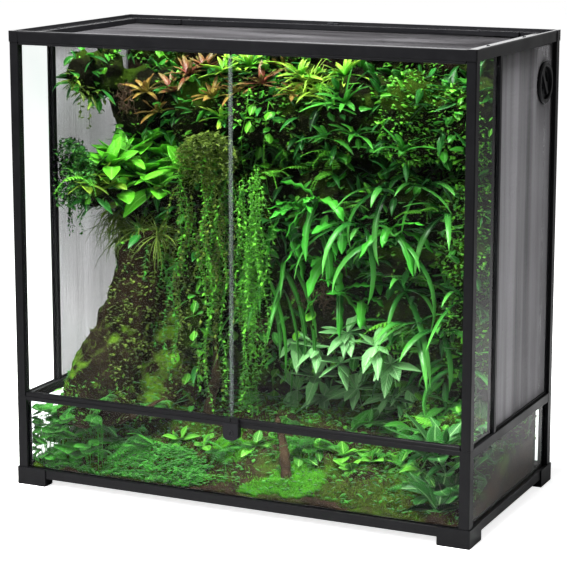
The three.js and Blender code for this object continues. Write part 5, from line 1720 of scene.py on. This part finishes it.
class TERRARIUM_OT_moss(bpy.types.Operator):
    """Grows tufts of moss on the soil and the trunk's foot: bright cushions and olive slopes"""

    bl_idname = "terrarium.moss"
    bl_label = "Moss"

    def execute(self, context):
        plants = settings("plant")
        random = seeded(20)

        def cushions(points, normals):
            share = np.where(ringed(points, MOSS_CUSHION_RINGS), 1.0, 0.03)
            return (normals[:, 2] > 0.1) * (points[:, 2] < 0.22) * share

        def slopes(points, normals):
            share = np.where(ringed(points, MOSS_SLOPE_RINGS), 1.0, 0.10)
            return (normals[:, 2] > 0.0) * (points[:, 2] < 0.30) * share

        # Each: its name, where it grows, its count, and its red, green and blue as shares of the moss.
        for name, test, count, tone in (
            ("bright_moss", cushions, 15000, (0.65, 1.35, 0.8)),
            ("olive_moss", slopes, 18000, (0.70, 0.52, 0.6)),
        ):
            count = int(count * plants.density)
            base, _ = ground().spread(random, count, test)
            growth = Growth()
            growth.blades(
                shape("needle"),
                base,
                yaw=random.random(count) * 2 * math.pi,
                rise=between(random, 0.5, 1.4, count),
                bend=0.4,
                length=between(random, 0.004, 0.010, count),
                width=0.0014,
                tint=random.random(count),
            )
            colour = tuple(part * share for part, share in zip(plants.moss, tone))
            material = leafy(name, times(colour, 0.25), times(colour, 1.5), colour, rough=0.8)
            growth.finish(name, material, "soil")
        return {"FINISHED"}


# ---- Stage -----------------------------------------------------------------------------------

FLOOR_WIDTH = 24
FLOOR_GLOW = 0.78  # so that the floor is as pale as the background


def white_floor(colour):
    """A pale floor that takes shadows and, to the camera alone, glows a little."""
    material, tree = new_material("floor_white")
    grain = noise(tree, place(tree), 3.0, 3.0)
    shade = mixed(tree, grain, colour, tuple(min(1.0, 1.02 * part) for part in colour))
    body = node(tree, "ShaderNodeBsdfDiffuse", {"Color": shade})
    watched = node(tree, "ShaderNodeLightPath").outputs["Is Camera Ray"]
    strength = sums(tree, "MULTIPLY", watched, FLOOR_GLOW)
    glow = node(tree, "ShaderNodeEmission", {"Color": WHITE, "Strength": strength})
    both = node(tree, "ShaderNodeAddShader", {0: body.outputs[0], 1: glow.outputs[0]})
    node(tree, "ShaderNodeOutputMaterial", {"Surface": both.outputs[0]})
    return material


def white_room(strength):
    """A background that is white where it is looked at, and lights the object less."""
    world = bpy.data.worlds.new("white_room")
    world.use_nodes = True
    tree = world.node_tree
    tree.nodes.clear()
    path = node(tree, "ShaderNodeLightPath").outputs
    seen = sums(tree, "MAXIMUM", path["Is Camera Ray"], path["Is Glossy Ray"])
    seen = sums(tree, "MAXIMUM", seen, path["Is Transmission Ray"])
    shine = {"Color": WHITE, "Strength": ranged(tree, seen, 0.0, 1.0, strength, 1.0)}
    back = node(tree, "ShaderNodeBackground", shine)
    node(tree, "ShaderNodeOutputWorld", {"Surface": back.outputs[0]})
    return world


class TERRARIUM_OT_stage(bpy.types.Operator):
    """Sets the floor, the lamps, the background and the camera"""

    bl_idname = "terrarium.stage"
    bl_label = "Stage"

    def execute(self, context):
        look = settings("stage")
        scene = context.scene
        deselect()
        bpy.ops.mesh.primitive_grid_add(
            x_subdivisions=8, y_subdivisions=8, size=FLOOR_WIDTH, location=(0, 0, 0)
        )
        floor = context.object
        floor.name = "floor"
        floor.data.materials.append(white_floor(tuple(look.floor)))
        scene.world = white_room(look.sky)

        # Each lamp: its name, place, aim, width and power.
        for name, where, aim, size, power in (
            ("front_lamp", (-1.6, -2.6, 2.3), (0, 0, 0.45), 2.2, look.lamp),
            ("top_lamp", (0.0, -0.30, 1.75), (0, 0.0, 0.3), 0.9, 1.75 * look.lamp),
        ):
            light = bpy.data.lights.new(name, "AREA")
            light.shape = "SQUARE"
            light.size = size
            light.energy = power
            lamp = bpy.data.objects.new(name, light)
            context.collection.objects.link(lamp)
            lamp.location = where
            lamp.rotation_euler = (Vector(aim) - Vector(where)).to_track_quat("-Z", "Y").to_euler()

        lens = bpy.data.cameras.new("camera")
        lens.lens = CAMERA_FOCUS / PICTURE * lens.sensor_width
        lens.shift_y = -CAMERA_DROP / PICTURE
        camera = bpy.data.objects.new("camera", lens)
        context.collection.objects.link(camera)
        camera.location = CAMERA_PLACE
        camera.rotation_euler = (math.pi / 2 - CAMERA_PITCH, 0, CAMERA_YAW)
        scene.camera = camera
        scene.view_settings.view_transform = "Standard"
        return {"FINISHED"}


class TERRARIUM_PT_panel(bpy.types.Panel):
    """Lists the steps and their settings"""

    bl_idname = "TERRARIUM_PT_panel"
    bl_label = "Terrarium cabinet"
    bl_space_type = "VIEW_3D"
    bl_region_type = "UI"
    bl_category = "Terrarium"

    def draw(self, context):
        layout = self.layout
        for name, group in GROUPS:
            box = layout.box()
            box.label(text=group.__doc__)
            values = getattr(context.scene, "terrarium_" + name)
            for key in group.__annotations__:
                box.prop(values, key)
        for step in STEPS:
            layout.operator(step.bl_idname)


GROUPS = (
    ("frame", FrameSettings),
    ("wire", WireSettings),
    ("plant", PlantSettings),
    ("stage", StageSettings),
)
STEPS = (
    TERRARIUM_OT_frame,
    TERRARIUM_OT_glass,
    TERRARIUM_OT_fittings,
    TERRARIUM_OT_side_wire,
    TERRARIUM_OT_top_wire,
    TERRARIUM_OT_wall,
    TERRARIUM_OT_soil,
    TERRARIUM_OT_trunk,
    TERRARIUM_OT_buttress,
    TERRARIUM_OT_shaded_undergrowth,
    TERRARIUM_OT_cover_leaves,
    TERRARIUM_OT_bromeliads,
    TERRARIUM_OT_left_plants,
    TERRARIUM_OT_curtains,
    TERRARIUM_OT_right_plants,
    TERRARIUM_OT_soil_plants,
    TERRARIUM_OT_moss,
    TERRARIUM_OT_stage,
)


def register():
    for one in (*(group for _, group in GROUPS), *STEPS, TERRARIUM_PT_panel):
        bpy.utils.register_class(one)
    for name, group in GROUPS:
        setattr(bpy.types.Scene, "terrarium_" + name, bpy.props.PointerProperty(type=group))


def unregister():
    for name, _ in GROUPS:
        delattr(bpy.types.Scene, "terrarium_" + name)
    for one in (TERRARIUM_PT_panel, *reversed(STEPS), *(group for _, group in reversed(GROUPS))):
        bpy.utils.unregister_class(one)


def main():
    register()
    for step in STEPS:
        group, name = step.bl_idname.split(".")
        getattr(getattr(bpy.ops, group), name)()
    bpy.context.view_layer.update()


if __name__ == "__main__":
    main()
